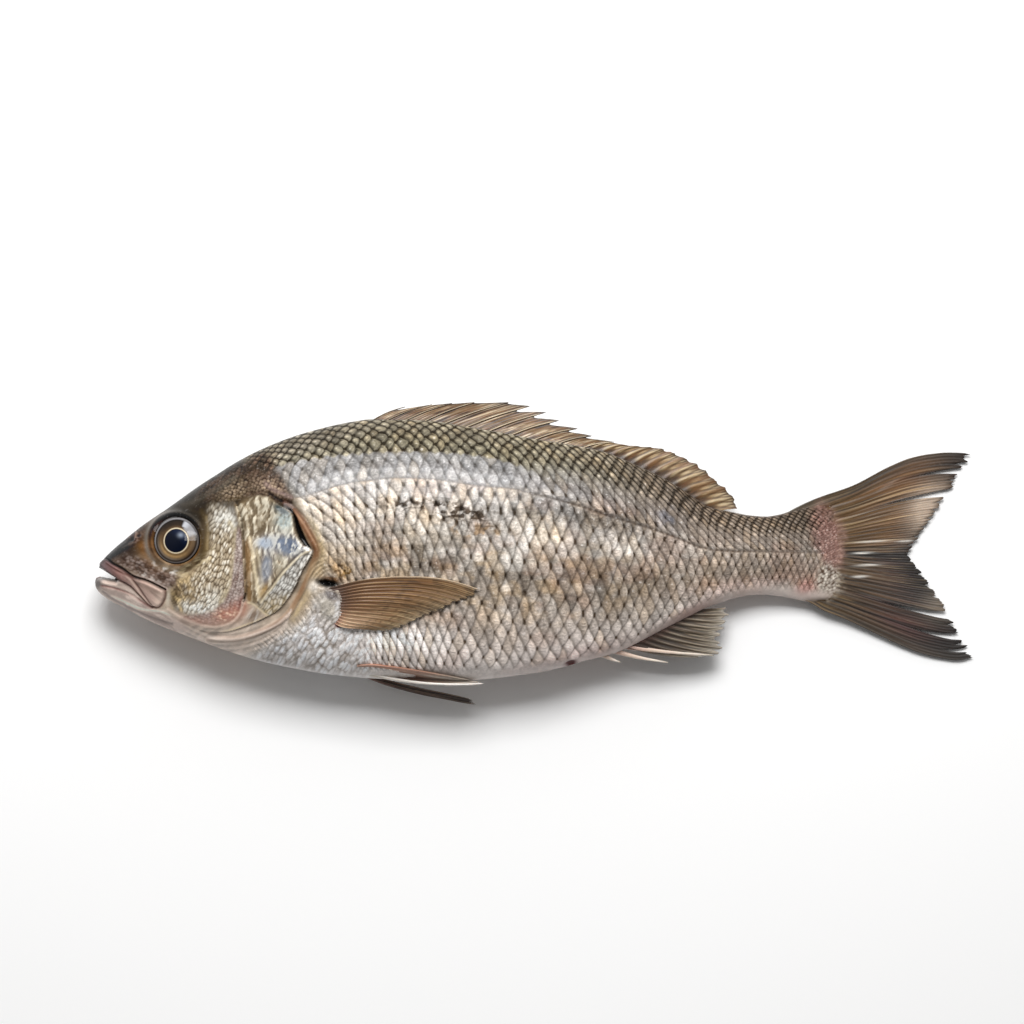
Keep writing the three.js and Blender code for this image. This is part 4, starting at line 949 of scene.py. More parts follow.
    # chest: silvery slanting wrinkles and grains, pale on their crests with a painted highlight on the grains' tops,
    # darker in their gaps and the wrinkles' troughs
    wr = hair(px, py, -48, 13, 3.2, 171)
    wr2 = hair(px, py, 40, 9, 3.0, 173)
    q1, q1g, q1r = beads(px, py, -58, 10.0, 4.4, 175, 0.9)
    C = over(C, lin(240, 233, 224), chest * 0.85)
    C = over(C, lin(246, 243, 237), chest * q1 * (0.25 + 0.75 * q1r) * (0.3 + 0.7 * wr))
    C = over(C, lin(136, 121, 104), chest * np.clip(q1g * 0.6 + (1 - wr) * 0.6, 0, 1) * (0.55 + 0.35 * n_two) * sstep(4, 22, belly_d))
    # painted highlight on the grains' crests
    C = over(C, lin(250, 249, 246), chest * q1**2 * sstep(0.5, 0.85, q1r) * 0.9)
    H += chest * (0.26 * q1 + 0.12 * wr + 0.08 * wr2) * sstep(3, 16, belly_d)

    hd = px < 366
    if hd.any():
        ahead = sstep(6, -8, behind[hd])
        C[hd], H[hd] = head(px[hd], py[hd], f[hd], C[hd], H[hd], belly_d[hd], back_d[hd], behind[hd], n_mid[hd], n_fine[hd])
        C[hd] = C[hd] * (1 + ahead * (0.24 * sstep(0.64, 0.50, f[hd]) - 0.34 * sstep(0.68, 0.78, f[hd]) * sstep(262, 225, px[hd]) - 0.20 * sstep(150, 125, px[hd]) * sstep(0.3, 0.45, f[hd])))[:, None]
        gloss_and_reflection_band[hd] = gloss_and_reflection_band[hd] * (1 - ahead) + 0.30 * ahead
        SC[hd] = SC[hd] * (1 - np.clip(blob(px[hd], py[hd], 329, 600, 16, 26, -20) * 1.6, 0, 1))
    smooth_belly = sstep(22, 6, belly_d)
    calm = np.clip(0.6 * smooth_belly + 0.7 * np.where(hd, sstep(6, -8, behind), 0.0), 0, 0.9)
    C = C * (1 + (0.22 * (n_px - 0.5) + 0.34 * (n_fine - 0.5)) * (1 - calm))[:, None]
    cool = sstep(0, 14, behind)[:, None]
    C = C * (1 + cool * (np.array([-0.02, 0.0, 0.07])[None, :]))
    # regional brightness corrections: partly the skin's own tone, partly painted light and shade, raised where the
    # lamps leave the surface too dark and lowered where they leave it too light
    tone_and_light_gain = 0.36 * blob(px, py, 460, 608, 62, 22, 2) + 0.34 * blob(px, py, 365, 640, 56, 24, 6) + 0.24 * blob(px, py, 738, 522, 36, 12, 4) + 0.36 * blob(px, py, 745, 586, 46, 8, 0) + 0.20 * blob(px, py, 690, 596, 34, 13, -24) + 0.28 * blob(px, py, 142, 606, 34, 10, 22)
    tone_and_light_gain = tone_and_light_gain - 0.12 * blob(px, py, 372, 540, 52, 15) - 0.08 * blob(px, py, 400, 478, 130, 10) - 0.20 * blob(px, py, 600, 512, 70, 38, 14) - 0.14 * blob(px, py, 600, 578, 60, 18, 4) - 0.20 * blob(px, py, 750, 567, 60, 9) - 0.16 * blob(px, py, 790, 545, 30, 16) - 0.18 * blob(px, py, 128, 580, 14, 8, 20) - 0.24 * blob(px, py, 151, 592, 11, 8, 30)
    tone_and_light_gain = tone_and_light_gain - 0.42 * blob(px, py, 124, 548, 13, 11) - 0.34 * blob(px, py, 204, 516, 26, 22, -30) - 0.20 * blob(px, py, 266, 505, 22, 20)
    C = C * (1 + tone_and_light_gain)[:, None]
    C = np.clip((C - 0.012) * 0.95, 0.003, 0.95)
    ahead_all = np.where(hd, sstep(6, -8, behind), 0.0)
    fleck = (1 - smooth_belly) * (0.35 + 0.65 * sstep(-0.95, -0.6, w)) * (1 - 0.5 * sstep(0.5, 0.8, w))
    fleck = fleck * (1 - ahead_all) + 0.20 * ahead_all
    return C, H, np.stack([SC, pig, gloss_and_reflection_band, fleck], axis=-1), u, v


# =====================================================================================
# Meshes
# =====================================================================================
def put(p):
    out = np.array(p, float)
    out[..., 0] += SHIFT[0]
    out[..., 1] += SHIFT[1]
    return out * MM


def grid_faces(nu, nv, flip):
    i, j = np.meshgrid(np.arange(nu - 1), np.arange(nv - 1), indexing="ij")
    a = (i * nv + j).ravel()
    b, c, d = a + nv, a + nv + 1, a + 1
    return np.stack([a, d, c, b] if flip else [a, b, c, d], axis=-1)


def new_mesh(name, verts, faces, uvs, attrs, normals=None, bake=None):
    """verts (n,3) in metres, faces (m,4), uvs {name: (n,2)}, attrs {name: (n,4)}."""
    used = np.zeros(len(verts), bool)
    used[faces.ravel()] = True
    if not used.all():
        remap = np.cumsum(used) - 1
        faces = remap[faces]
        verts = verts[used]
        uvs = {k: q[used] for k, q in uvs.items()}
        attrs = {k: q[used] for k, q in attrs.items()}
        normals = normals[used] if normals is not None else None
    mesh = bpy.data.meshes.new(name)
    mesh.vertices.add(len(verts))
    mesh.vertices.foreach_set("co", verts.astype(np.float32).ravel())
    mesh.loops.add(faces.size)
    mesh.loops.foreach_set("vertex_index", faces.astype(np.int32).ravel())
    mesh.polygons.add(len(faces))
    mesh.polygons.foreach_set("loop_start", np.arange(0, faces.size, 4, dtype=np.int32))
    mesh.update(calc_edges=True)
    mesh.polygons.foreach_set("use_smooth", np.ones(len(faces), bool))
    for key, q in uvs.items():
        layer = mesh.uv_layers.new(name=key)
        layer.data.foreach_set("uv", q[faces.ravel()].astype(np.float32).ravel())
    for key, q in attrs.items():
        layer = mesh.color_attributes.new(name=key, type="FLOAT_COLOR", domain="POINT")
        layer.data.foreach_set("color", q.astype(np.float32).ravel())
    mesh.validate(clean_customdata=False)
    if normals is not None:
        mesh.normals_split_custom_set_from_vertices(normals.astype(np.float32).tolist())
    ob = bpy.data.objects.new(name, mesh)
    bpy.context.scene.collection.objects.link(ob)
    return ob


def surface_normals(P):
    du = np.gradient(P, axis=0)
    dv = np.gradient(P, axis=1)
    nrm = np.cross(du, dv)
    length = np.linalg.norm(nrm, axis=-1, keepdims=True)
    return nrm / np.maximum(length, 1e-9)


def soften(a, k):
    """Mean over a window of 2k+1 grid steps each way."""
    for axis in (0, 1):
        pad = [(k + 1, k) if i == axis else (0, 0) for i in range(2)]
        cum = np.cumsum(np.pad(a, pad, mode="edge"), axis=axis)
        hi = [slice(None)] * 2
        lo = [slice(None)] * 2
        hi[axis] = slice(2 * k + 1, None)
        lo[axis] = slice(0, -(2 * k + 1))
        a = (cum[tuple(hi)] - cum[tuple(lo)]) / (2 * k + 1)
    return a


def rgba(c):
    return np.concatenate([c, np.ones((len(c), 1))], axis=1)


MATS = {}


def skin_piece(name, v0, v1, step, rows, near, sink_front=True, sink_back=False):
    """A part of the skin between two view columns. step is the column spacing in mm."""
    x0, x1 = float(column_x(np.array([v0]))[0]), float(column_x(np.array([v1]))[0])
    n = int(round((x1 - x0) / step)) + 1
    xs = np.linspace(x0, x1, n)
    pad = 3
    extra_front = v0 > NOSE_V + 1
    extra_back = v1 < ROOT_V - 1
    if extra_front:
        xs = np.concatenate([x0 - step * np.arange(pad, 0, -1), xs])
    if extra_back:
        xs = np.concatenate([xs, x1 + step * np.arange(1, 3)])
    if not extra_front:  # closer columns round the nose
        t = np.linspace(0, 1, 26)[:-1]
        xs = np.concatenate([x0 + 3.0 * t**2, xs[xs > x0 + 3.0]])
    if not extra_back:
        t = np.linspace(0, 1, 14)[1:]
        xs = np.concatenate([xs[xs < x1 - 1.5], x1 - 1.5 * (1 - t) ** 1.6])
    sec = sections(xs, rows)
    mz = middle_z(sec["X"])
    # the lips roll in round the mouth's gap
    vx, vy = to_view(sec["X"], sec["Y"], mz + sec["S"])
    S2 = sec["S"].copy()
    gap = None
    if not extra_front:
        mx, my = to_view(sec["X"], sec["Y"], mz)
        near_gap = (mx < 128) & (my > 540) & (my < 600)
        gap = np.full(mx.shape, 99.0)
        gap[near_gap] = poly_sd(mx[near_gap], my[near_gap], MOUTH_V)
        roll = np.clip(gap / 5.5, 0, 1)
        S2 = S2 * np.sqrt(1 - (1 - roll) ** 2)
    P0 = np.stack([sec["X"], sec["Y"], mz + (S2 if near else -S2)], axis=-1)
    sink = sstep(822, 845, vx)
    if (sink > 0).any():
        S2 = S2 * (1 - sink) + np.minimum(S2, 0.12) * sink
        P0[..., 2] = mz + (S2 if near else -S2)
    nrm = surface_normals(P0)
    if not near:
        nrm = -nrm
    smooth_n = nrm.copy()
    C, H, M, u, v = paint(vx.ravel(), vy.ravel(), sec["X"].ravel(), sec["Y"].ravel(), sec["G"].ravel(), sec["L"].ravel(), sec["F"].ravel(), near)
    edge = sstep(0.0, 2.2, np.minimum(sec["L"] * sec["F"], sec["L"] * (1 - sec["F"])))
    Hg = H.reshape(sec["X"].shape) * edge
    if gap is not None:
        Hg = Hg * sstep(0.0, 5.0, gap)
    k = max(1, int(round(0.8 / step)))
    # painted shade and highlight: the colour is darkened where the relief dips below its local mean and lightened
    # where it rises above it
    relief_shade = Hg - soften(soften(Hg, k), k)
    C = C.reshape(len(xs), rows, 3) * np.clip(1 + lerp(0.75, 1.4, M[:, 0].reshape(len(xs), rows)) * relief_shade, 0.45, 1.5)[..., None]
    broad = soften(soften(Hg, int(round(1.6 / step))), int(round(1.6 / step)))
    smooth_n = surface_normals(P0 + nrm * broad[..., None]) * (1 if near else -1)
    P = P0 + nrm * Hg[..., None]
    P[:, 0] = P0[:, 0]
    P[:, -1] = P0[:, -1]
    if gap is not None:
        inside = gap < 0
        pts = np.asarray(MOUTH_V, float)
        mx, my = to_view(sec["X"][inside], sec["Y"][inside], mz[inside])
        best = np.full(mx.shape, 1e9)
        qx, qy = mx.copy(), my.copy()
        for i in range(1, len(pts) - 2):
            a, b = pts[i], pts[i + 1] - pts[i]
            t = np.clip(((mx - a[0]) * b[0] + (my - a[1]) * b[1]) / (b @ b), 0, 1)
            ex, ey = a[0] + t * b[0], a[1] + t * b[1]
            d = np.hypot(mx - ex, my - ey)
            better = d < best
            best = np.where(better, d, best)
            qx, qy = np.where(better, ex, qx), np.where(better, ey, qy)
        zz = mz[inside]
        sx, sy = from_view(qx, qy, zz)
        P[inside] = np.stack([sx, sy, zz], axis=-1)
    if not near:
        P[..., 2] = np.maximum(P[..., 2], 0.12)
    N = surface_normals(P)
    if not near:
        N = -N
    flat = sstep(812, 842, vx)[..., None]
    up_n = np.array([0, 0, 1.0 if near else -1.0])
    N = N * (1 - flat) + up_n * flat
    smooth_n = smooth_n * (1 - flat) + up_n * flat
    N /= np.linalg.norm(N, axis=-1, keepdims=True)
    if extra_back:
        P, N, smooth_n = P[:-2], N[:-2], smooth_n[:-2]
        keep = slice(0, len(xs) - 2)
    else:
        keep = slice(0, len(xs))
    C = C.reshape(len(xs), rows, 3)[keep]
    M = M.reshape(len(xs), rows, 4)[keep]
    u, v = u.reshape(len(xs), rows)[keep], v.reshape(len(xs), rows)[keep]
    nx = P.shape[0]
    if extra_front:
        for k, s in enumerate((0.34, 0.18, 0.07)):
            P[k] -= N[k] * s
    faces = grid_faces(nx, rows, flip=not near)
    if gap is not None:
        ins = (gap < 0)[:nx].ravel()
        faces = faces[~ins[faces].all(axis=1)]
    iu, jv = np.meshgrid(np.arange(nx) / (nx - 1), np.arange(rows) / (rows - 1), indexing="ij")
    long_, wide_ = (xs[-1] - xs[0]), float(sec["L"].max())
    s = 0.98 / max(long_, wide_)
    bake = np.stack([0.01 + iu * long_ * s, 0.01 + jv * wide_ * s], axis=-1).reshape(-1, 2)
    ob = new_mesh(
        name,
        put(P).reshape(-1, 3),
        faces,
        {"OFBake": bake, "lattice": np.stack([u, v], axis=-1).reshape(-1, 2)},
        {"tint": rgba(np.clip(C.reshape(-1, 3), 0.002, 0.95)), "mask": M.reshape(-1, 4), "film": rgba(smooth_n.reshape(-1, 3))},
        normals=N.reshape(-1, 3),
    )
    ob.data.materials.append(MATS["skin"])
    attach(ob, "root")
    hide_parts("fish")
    return ob


# =====================================================================================
# Materials
# =====================================================================================
class Nodes:
    def __init__(self, name):
        self.mat = bpy.data.materials.new(name)
        self.mat.use_nodes = True
        self.t = self.mat.node_tree
        self.bsdf = next(n for n in self.t.nodes if n.type == "BSDF_PRINCIPLED")

    def link(self, out, sock):
        self.t.links.new(out, sock)

    def feed(self, sock, v):
        if hasattr(v, "links"):
            self.link(v, sock)
        else:
            sock.default_value = v

    def math(self, op, a, b=None, c=None, clamp=False):
        n = self.t.nodes.new("ShaderNodeMath")
        n.operation = op
        n.use_clamp = clamp
        self.feed(n.inputs[0], a)
        if b is not None:
            self.feed(n.inputs[1], b)
        if c is not None:
            self.feed(n.inputs[2], c)
        return n.outputs[0]

    def mixf(self, f, a, b):
        return self.math("ADD", self.math("MULTIPLY", a, self.math("SUBTRACT", 1.0, f)), self.math("MULTIPLY", b, f))

    def mixc(self, f, a, b, blend="MIX"):
        n = self.t.nodes.new("ShaderNodeMix")
        n.data_type = "RGBA"
        n.blend_type = blend
        self.feed(n.inputs[0], f)
        for sock, v in ((n.inputs[6], a), (n.inputs[7], b)):
            if hasattr(v, "links"):
                self.link(v, sock)
            else:
                sock.default_value = (*v, 1.0)
        return n.outputs[2]

    def smooth(self, x, lo, hi, a=0.0, b=1.0):
        n = self.t.nodes.new("ShaderNodeMapRange")
        n.interpolation_type = "SMOOTHSTEP"
        self.feed(n.inputs[0], x)
        for k, v in zip((1, 2, 3, 4), (lo, hi, a, b)):
            n.inputs[k].default_value = v
        return n.outputs[0]

    def attr(self, name):
        n = self.t.nodes.new("ShaderNodeAttribute")
        n.attribute_name = name
        return n

    def noise(self, scale, detail=2.0, vec=None, rough=0.5):
        n = self.t.nodes.new("ShaderNodeTexNoise")
        n.inputs["Scale"].default_value = scale
        n.inputs["Detail"].default_value = detail
        n.inputs["Roughness"].default_value = rough
        if vec is not None:
            self.link(vec, n.inputs["Vector"])
        return n.outputs[0]

    def sep(self, sock):
        n = self.t.nodes.new("ShaderNodeSeparateXYZ")
        self.link(sock, n.inputs[0])
        return n.outputs

    def comb(self, x, y, z=0.0):
        n = self.t.nodes.new("ShaderNodeCombineXYZ")
        for s, v in zip(n.inputs, (x, y, z)):
            self.feed(s, v)
        return n.outputs[0]


def object_coords(k):
    n = k.t.nodes.new("ShaderNodeTexCoord")
    return n.outputs["Object"]


def skin_material():
    k = Nodes("wet_scaled_skin")
    m = k.math
    uvn = k.t.nodes.new("ShaderNodeUVMap")
    uvn.uv_map = "lattice"
    u, v, _ = k.sep(uvn.outputs[0])
    tint = k.attr("tint").outputs["Color"]
    maskn = k.attr("mask")
    sc, pig, gloss_and_reflection_band = k.sep(maskn.outputs["Vector"])
    fleck = maskn.outputs["Alpha"]
    obj = object_coords(k)
    j0 = m("FLOOR", v)
    ta = m("SUBTRACT", v, j0)
    tb = m("SUBTRACT", 1.0, ta)
    pa = m("MULTIPLY", m("FLOORED_MODULO", j0, 2.0), 0.5)
    pb = m("SUBTRACT", 0.5, pa)
    ea = m("MULTIPLY", m("SUBTRACT", 1.0, m("POWER", ta, FREE_K)), 0.5)
    eb = m("MULTIPLY", m("SUBTRACT", 1.0, m("POWER", tb, FREE_K)), 0.5)
    ca = m("ADD", m("CEIL", m("SUBTRACT", m("SUBTRACT", u, ea), pa)), pa)
    cb = m("ADD", m("CEIL", m("SUBTRACT", m("SUBTRACT", u, eb), pb)), pb)
    is_a = m("LESS_THAN", ca, cb)
    c = m("MINIMUM", ca, cb)
    e = k.mixf(is_a, eb, ea)
    t = k.mixf(is_a, tb, ta)
    j = m("ADD", j0, m("SUBTRACT", 1.0, is_a))
    d = m("SUBTRACT", m("ADD", c, e), u)
    w = m("MAXIMUM", m("SUBTRACT", 1.0, m("POWER", t, 1.15)), 0.05)
    r = m("DIVIDE", d, w, clamp=True)
    wn = k.t.nodes.new("ShaderNodeTexWhiteNoise")
    wn.noise_dimensions = "2D"
    k.link(k.comb(m("MULTIPLY", c, 2.0), j), wn.inputs["Vector"])
    rnd = wn.outputs["Value"]
    r1, r2, r3 = k.sep(wn.outputs["Color"])
    n_dot = k.noise(1500.0, 2.0, obj)
    n_fine = k.noise(850.0, 3.0, obj)
    n_mid = k.noise(380.0, 3.0, obj)
    # where four scales meet: dark pits, wider where the skin is more pigmented
    su = m("ADD", 0.10, m("MULTIPLY", pig, 0.09))
    sv = m("ADD", 0.24, m("MULTIPLY", pig, 0.10))
    jit = m("MULTIPLY", m("SUBTRACT", n_mid, 0.5), 1.25)

    def meet(p, tt):
        g = m("ABSOLUTE", m("SUBTRACT", m("FRACT", m("SUBTRACT", u, p)), 0.5))
        a = m("DIVIDE", g, su)
        b = m("DIVIDE", tt, sv)
        far = m("SQRT", m("ADD", m("MULTIPLY", a, a), m("MULTIPLY", b, b)))
        gc = m("DIVIDE", m("SUBTRACT", 0.5, g), 0.40)
        bc = m("DIVIDE", tt, 0.74)
        mid = m("SQRT", m("ADD", m("MULTIPLY", gc, gc), m("MULTIPLY", bc, bc)))
        mid = m("MULTIPLY", mid, m("ADD", 1.0, m("MULTIPLY", k.smooth(pig, 0.28, 0.70), 0.30)))
        return k.smooth(m("ADD", far, jit), 1.25, 0.35), k.smooth(m("SUBTRACT", mid, m("MULTIPLY", jit, 0.6)), 0.98, 0.08)

    s_a, k_a = meet(pa, ta)
    s_b, k_b = meet(pb, tb)
    patchy = k.smooth(k.noise(150.0, 2.0, obj), 0.36, 0.62)
    spot = m("MULTIPLY", m("MAXIMUM", s_a, s_b), k.mixf(k.smooth(pig, 0.25, 0.6), m("ADD", 0.22, m("MULTIPLY", patchy, 0.78)), 1.0))
    core = m("MAXIMUM", k_a, k_b)
    ts = m("SUBTRACT", ta, m("SUBTRACT", 1.0, is_a))
    # painted light: each scale is lighter on its upper half, the side towards the key lamp
    lit = k.smooth(ts, -0.6, 0.5)
    pig_k = k.smooth(pig, 0.28, 0.70)
    edge = m("MULTIPLY", k.smooth(d, 0.13, 0.01), k.mixf(pig_k, m("ADD", 0.35, m("MULTIPLY", r2, 0.65)), m("ADD", 0.15, m("MULTIPLY", r2, 0.55))))
    shade = m("MULTIPLY", k.smooth(r, 0.45, 1.0), m("SUBTRACT", 1.35, m("MULTIPLY", lit, 0.7)))
    rimlight = m("MULTIPLY", k.smooth(d, 0.10, 0.16), k.smooth(d, 0.34, 0.2))
    dark = m("ADD", m("MULTIPLY", spot, m("ADD", 0.62, m("MULTIPLY", rnd, 0.4))), m("ADD", m("MULTIPLY", edge, m("MULTIPLY", n_mid, 0.95)), m("MULTIPLY", shade, 0.40)))
    side = k.smooth(ts, -0.45, 0.25)
    dark = m("ADD", dark, m("MULTIPLY", m("MULTIPLY", m("MAXIMUM", m("SUBTRACT", pig, 0.25), 0.0), m("SUBTRACT", 1.0, core)), m("MULTIPLY", k.smooth(n_mid, 0.34, 0.60, 0.50, 1.25), m("ADD", 0.40, m("MULTIPLY", side, 0.64)))))
    dark = m("MULTIPLY", m("MULTIPLY", dark, sc), m("ADD", 0.55, m("MULTIPLY", n_fine, 0.85)), clamp=True)
    # painted reflection: the scales' dark marks are weakened inside the reflection band
    dark = m("MULTIPLY", dark, m("SUBTRACT", 1.0, m("MULTIPLY", k.smooth(gloss_and_reflection_band, 0.35, 1.0), 0.30)))
    # painted highlight: a light core in each scale and a lit rim behind its free edge; the same mask raises the
    # specular level and the bump
    core_highlight = m("MULTIPLY", m("MULTIPLY", core, sc), m("MULTIPLY", m("ADD", 0.30, m("MULTIPLY", r3, 0.70)), m("ADD", 0.35, m("MULTIPLY", lit, 0.85))))
    core_highlight = m("ADD", core_highlight, m("MULTIPLY", m("MULTIPLY", rimlight, sc), 0.25))
    # growth lines across each scale
    lines = m("SINE", m("ADD", m("MULTIPLY", v, 20.0), m("MULTIPLY", n_mid, 16.0)))
    lines = m("MULTIPLY", m("MULTIPLY", lines, m("MULTIPLY", sc, core)), 0.12)
    deep = k.mixc(pig_k, k.mixc(1.0, tint, (0.215, 0.170, 0.128), "MULTIPLY"), k.mixc(1.0, tint, (0.135, 0.112, 0.080), "MULTIPLY"))
    col = k.mixc(dark, tint, deep)
    lift = k.mixc(pig_k, k.mixc(1.0, tint, (1.58, 1.58, 1.58), "MULTIPLY"), k.mixc(1.0, tint, (2.8, 2.74, 2.60), "MULTIPLY"))
    col = k.mixc(m("MULTIPLY", core_highlight, 0.9), col, lift)
    gold = k.mixc(1.0, col, (1.05, 0.93, 0.76), "MULTIPLY")
    col = k.mixc(m("MULTIPLY", k.smooth(r1, 0.62, 0.95), m("MULTIPLY", sc, 0.5)), col, gold)
    vary = m("ADD", m("ADD", 0.71, m("MULTIPLY", r2, 0.52)), lines)
    vary = k.mixf(sc, 1.0, vary)
    grain = m("ADD", m("SUBTRACT", 1.0, m("MULTIPLY", fleck, 0.24)), m("MULTIPLY", m("MULTIPLY", fleck, 0.48), k.smooth(m("ADD", m("MULTIPLY", n_dot, 0.4), m("MULTIPLY", n_fine, 0.6)), 0.36, 0.64)))
    vv = m("MULTIPLY", vary, grain)
    col = k.mixc(1.0, col, k.comb(vv, vv, vv), "MULTIPLY")
    # silvery glints
    glint = m("MULTIPLY", k.smooth(m("ADD", m("MULTIPLY", n_dot, 0.45), m("MULTIPLY", n_fine, 0.55)), 0.56, 0.66), m("MULTIPLY", fleck, m("SUBTRACT", 1.0, dark)))
    glint = m("MULTIPLY", glint, k.mixf(sc, 0.45, m("ADD", m("MULTIPLY", core, 0.75), 0.1)))
    col = k.mixc(m("MULTIPLY", glint, 0.50), col, (0.84, 0.83, 0.82))
    b = k.bsdf
    k.link(col, b.inputs["Base Color"])
    k.link(m("MULTIPLY", 0.03, m("SUBTRACT", 1.0, m("MULTIPLY", dark, 0.9))), b.inputs["Metallic"])
    rough = m("ADD", m("ADD", 0.40, m("MULTIPLY", dark, 0.25)), m("MULTIPLY", n_mid, 0.14))
    k.link(rough, b.inputs["Roughness"])
    k.link(m("ADD", 0.05, m("MULTIPLY", m("ADD", m("MULTIPLY", core_highlight, 0.5), glint), 0.26)), b.inputs["Specular IOR Level"])
    k.link(m("ADD", 0.20, m("MULTIPLY", gloss_and_reflection_band, 0.28)), b.inputs["Coat Weight"])
    b.inputs["Coat Roughness"].default_value = 0.06
    b.inputs["Coat IOR"].default_value = 1.38
    bump = k.t.nodes.new("ShaderNodeBump")
    bump.inputs["Strength"].default_value = 0.5
    bump.inputs["Distance"].default_value = 0.0003
    hgt = m("ADD", m("MULTIPLY", m("SUBTRACT", m("MULTIPLY", core_highlight, 0.6), dark), 0.8), m("MULTIPLY", m("ADD", n_mid, m("MULTIPLY", n_fine, 0.8)), m("ADD", 0.08, m("MULTIPLY", fleck, 0.95))))
    hgt = m("ADD", hgt, m("MULTIPLY", lines, 2.0))
    k.link(hgt, bump.inputs["Height"])
    k.link(bump.outputs[0], b.inputs["Normal"])
    # the wet film lies smoothly over the scales
    film = k.t.nodes.new("ShaderNodeVectorTransform")
    film.vector_type, film.convert_from, film.convert_to = "NORMAL", "OBJECT", "WORLD"
    k.link(k.attr("film").outputs["Vector"], film.inputs[0])
    fb_ = k.t.nodes.new("ShaderNodeBump")
    fb_.inputs["Strength"].default_value = 0.03
    fb_.inputs["Distance"].default_value = 0.0003
    k.link(hgt, fb_.inputs["Height"])
    k.link(film.outputs[0], fb_.inputs["Normal"])
    k.link(fb_.outputs[0], b.inputs["Coat Normal"])
    return k.mat


def fin_material(name, rough=0.38, coat=0.5):
    k = Nodes(name)
    m = k.math
    tint = k.attr("tint").outputs["Color"]
    obj = object_coords(k)
    n1 = k.noise(900.0, 3.0, obj)
    n2 = k.noise(260.0, 2.0, obj)
    vv = m("ADD", 0.80, m("ADD", m("MULTIPLY", n1, 0.25), m("MULTIPLY", n2, 0.15)))
    col = k.mixc(1.0, tint, k.comb(vv, vv, vv), "MULTIPLY")
    b = k.bsdf
    k.link(col, b.inputs["Base Color"])
    k.link(m("ADD", rough, m("MULTIPLY", n2, 0.15)), b.inputs["Roughness"])
    b.inputs["Coat Weight"].default_value = coat
    b.inputs["Coat Roughness"].default_value = 0.22
    b.inputs["Subsurface Weight"].default_value = 0.12
    b.inputs["Subsurface Radius"].default_value = (0.001, 0.0006, 0.0004)
    b.inputs["Subsurface Scale"].default_value = 0.6
    bump = k.t.nodes.new("ShaderNodeBump")
    bump.inputs["Strength"].default_value = 0.3
    bump.inputs["Distance"].default_value = 0.0002
    k.link(n1, bump.inputs["Height"])
    k.link(bump.outputs[0], b.inputs["Normal"])
    return k.mat


def eye_material():
    k = Nodes("wet_eye")
    m = k.math
    tint = k.attr("tint").outputs["Color"]
    obj = object_coords(k)
    n1 = k.noise(1100.0, 3.0, obj)
    vv = m("ADD", 0.88, m("MULTIPLY", n1, 0.24))
    col = k.mixc(1.0, tint, k.comb(vv, vv, vv), "MULTIPLY")
    b = k.bsdf
    k.link(col, b.inputs["Base Color"])
    k.link(m("ADD", 0.22, m("MULTIPLY", n1, 0.15)), b.inputs["Roughness"])
    b.inputs["Specular IOR Level"].default_value = 0.0
    b.inputs["Coat Weight"].default_value = 0.40
    b.inputs["Coat Roughness"].default_value = 0.05
    b.inputs["Coat IOR"].default_value = 1.40
    return k.mat


MATS["skin"] = skin_material()
MATS["fin"] = fin_material("wet_fin_web", 0.45, 0.14)
MATS["fin_pale"] = fin_material("wet_fin_pale", 0.3, 0.8)
MATS["eye"] = eye_material()

# =====================================================================================
# The skin
# =====================================================================================
SPLIT_A, SPLIT_B = 349.0, 600.0
skin_piece("head_skin_upper_side", NOSE_V, SPLIT_A, 0.345, 318, near=True)
skin_piece("flank_skin_upper_side", SPLIT_A, SPLIT_B, 0.40, 280, near=True)
skin_piece("tail_stem_skin_upper_side", SPLIT_B, ROOT_V, 0.42, 200, near=True)
skin_piece("head_skin_lower_side", NOSE_V, SPLIT_A, 0.70, 170, near=False)
skin_piece("flank_skin_lower_side", SPLIT_A, SPLIT_B, 0.68, 170, near=False)
skin_piece("tail_stem_skin_lower_side", SPLIT_B, ROOT_V, 0.7, 130, near=False)


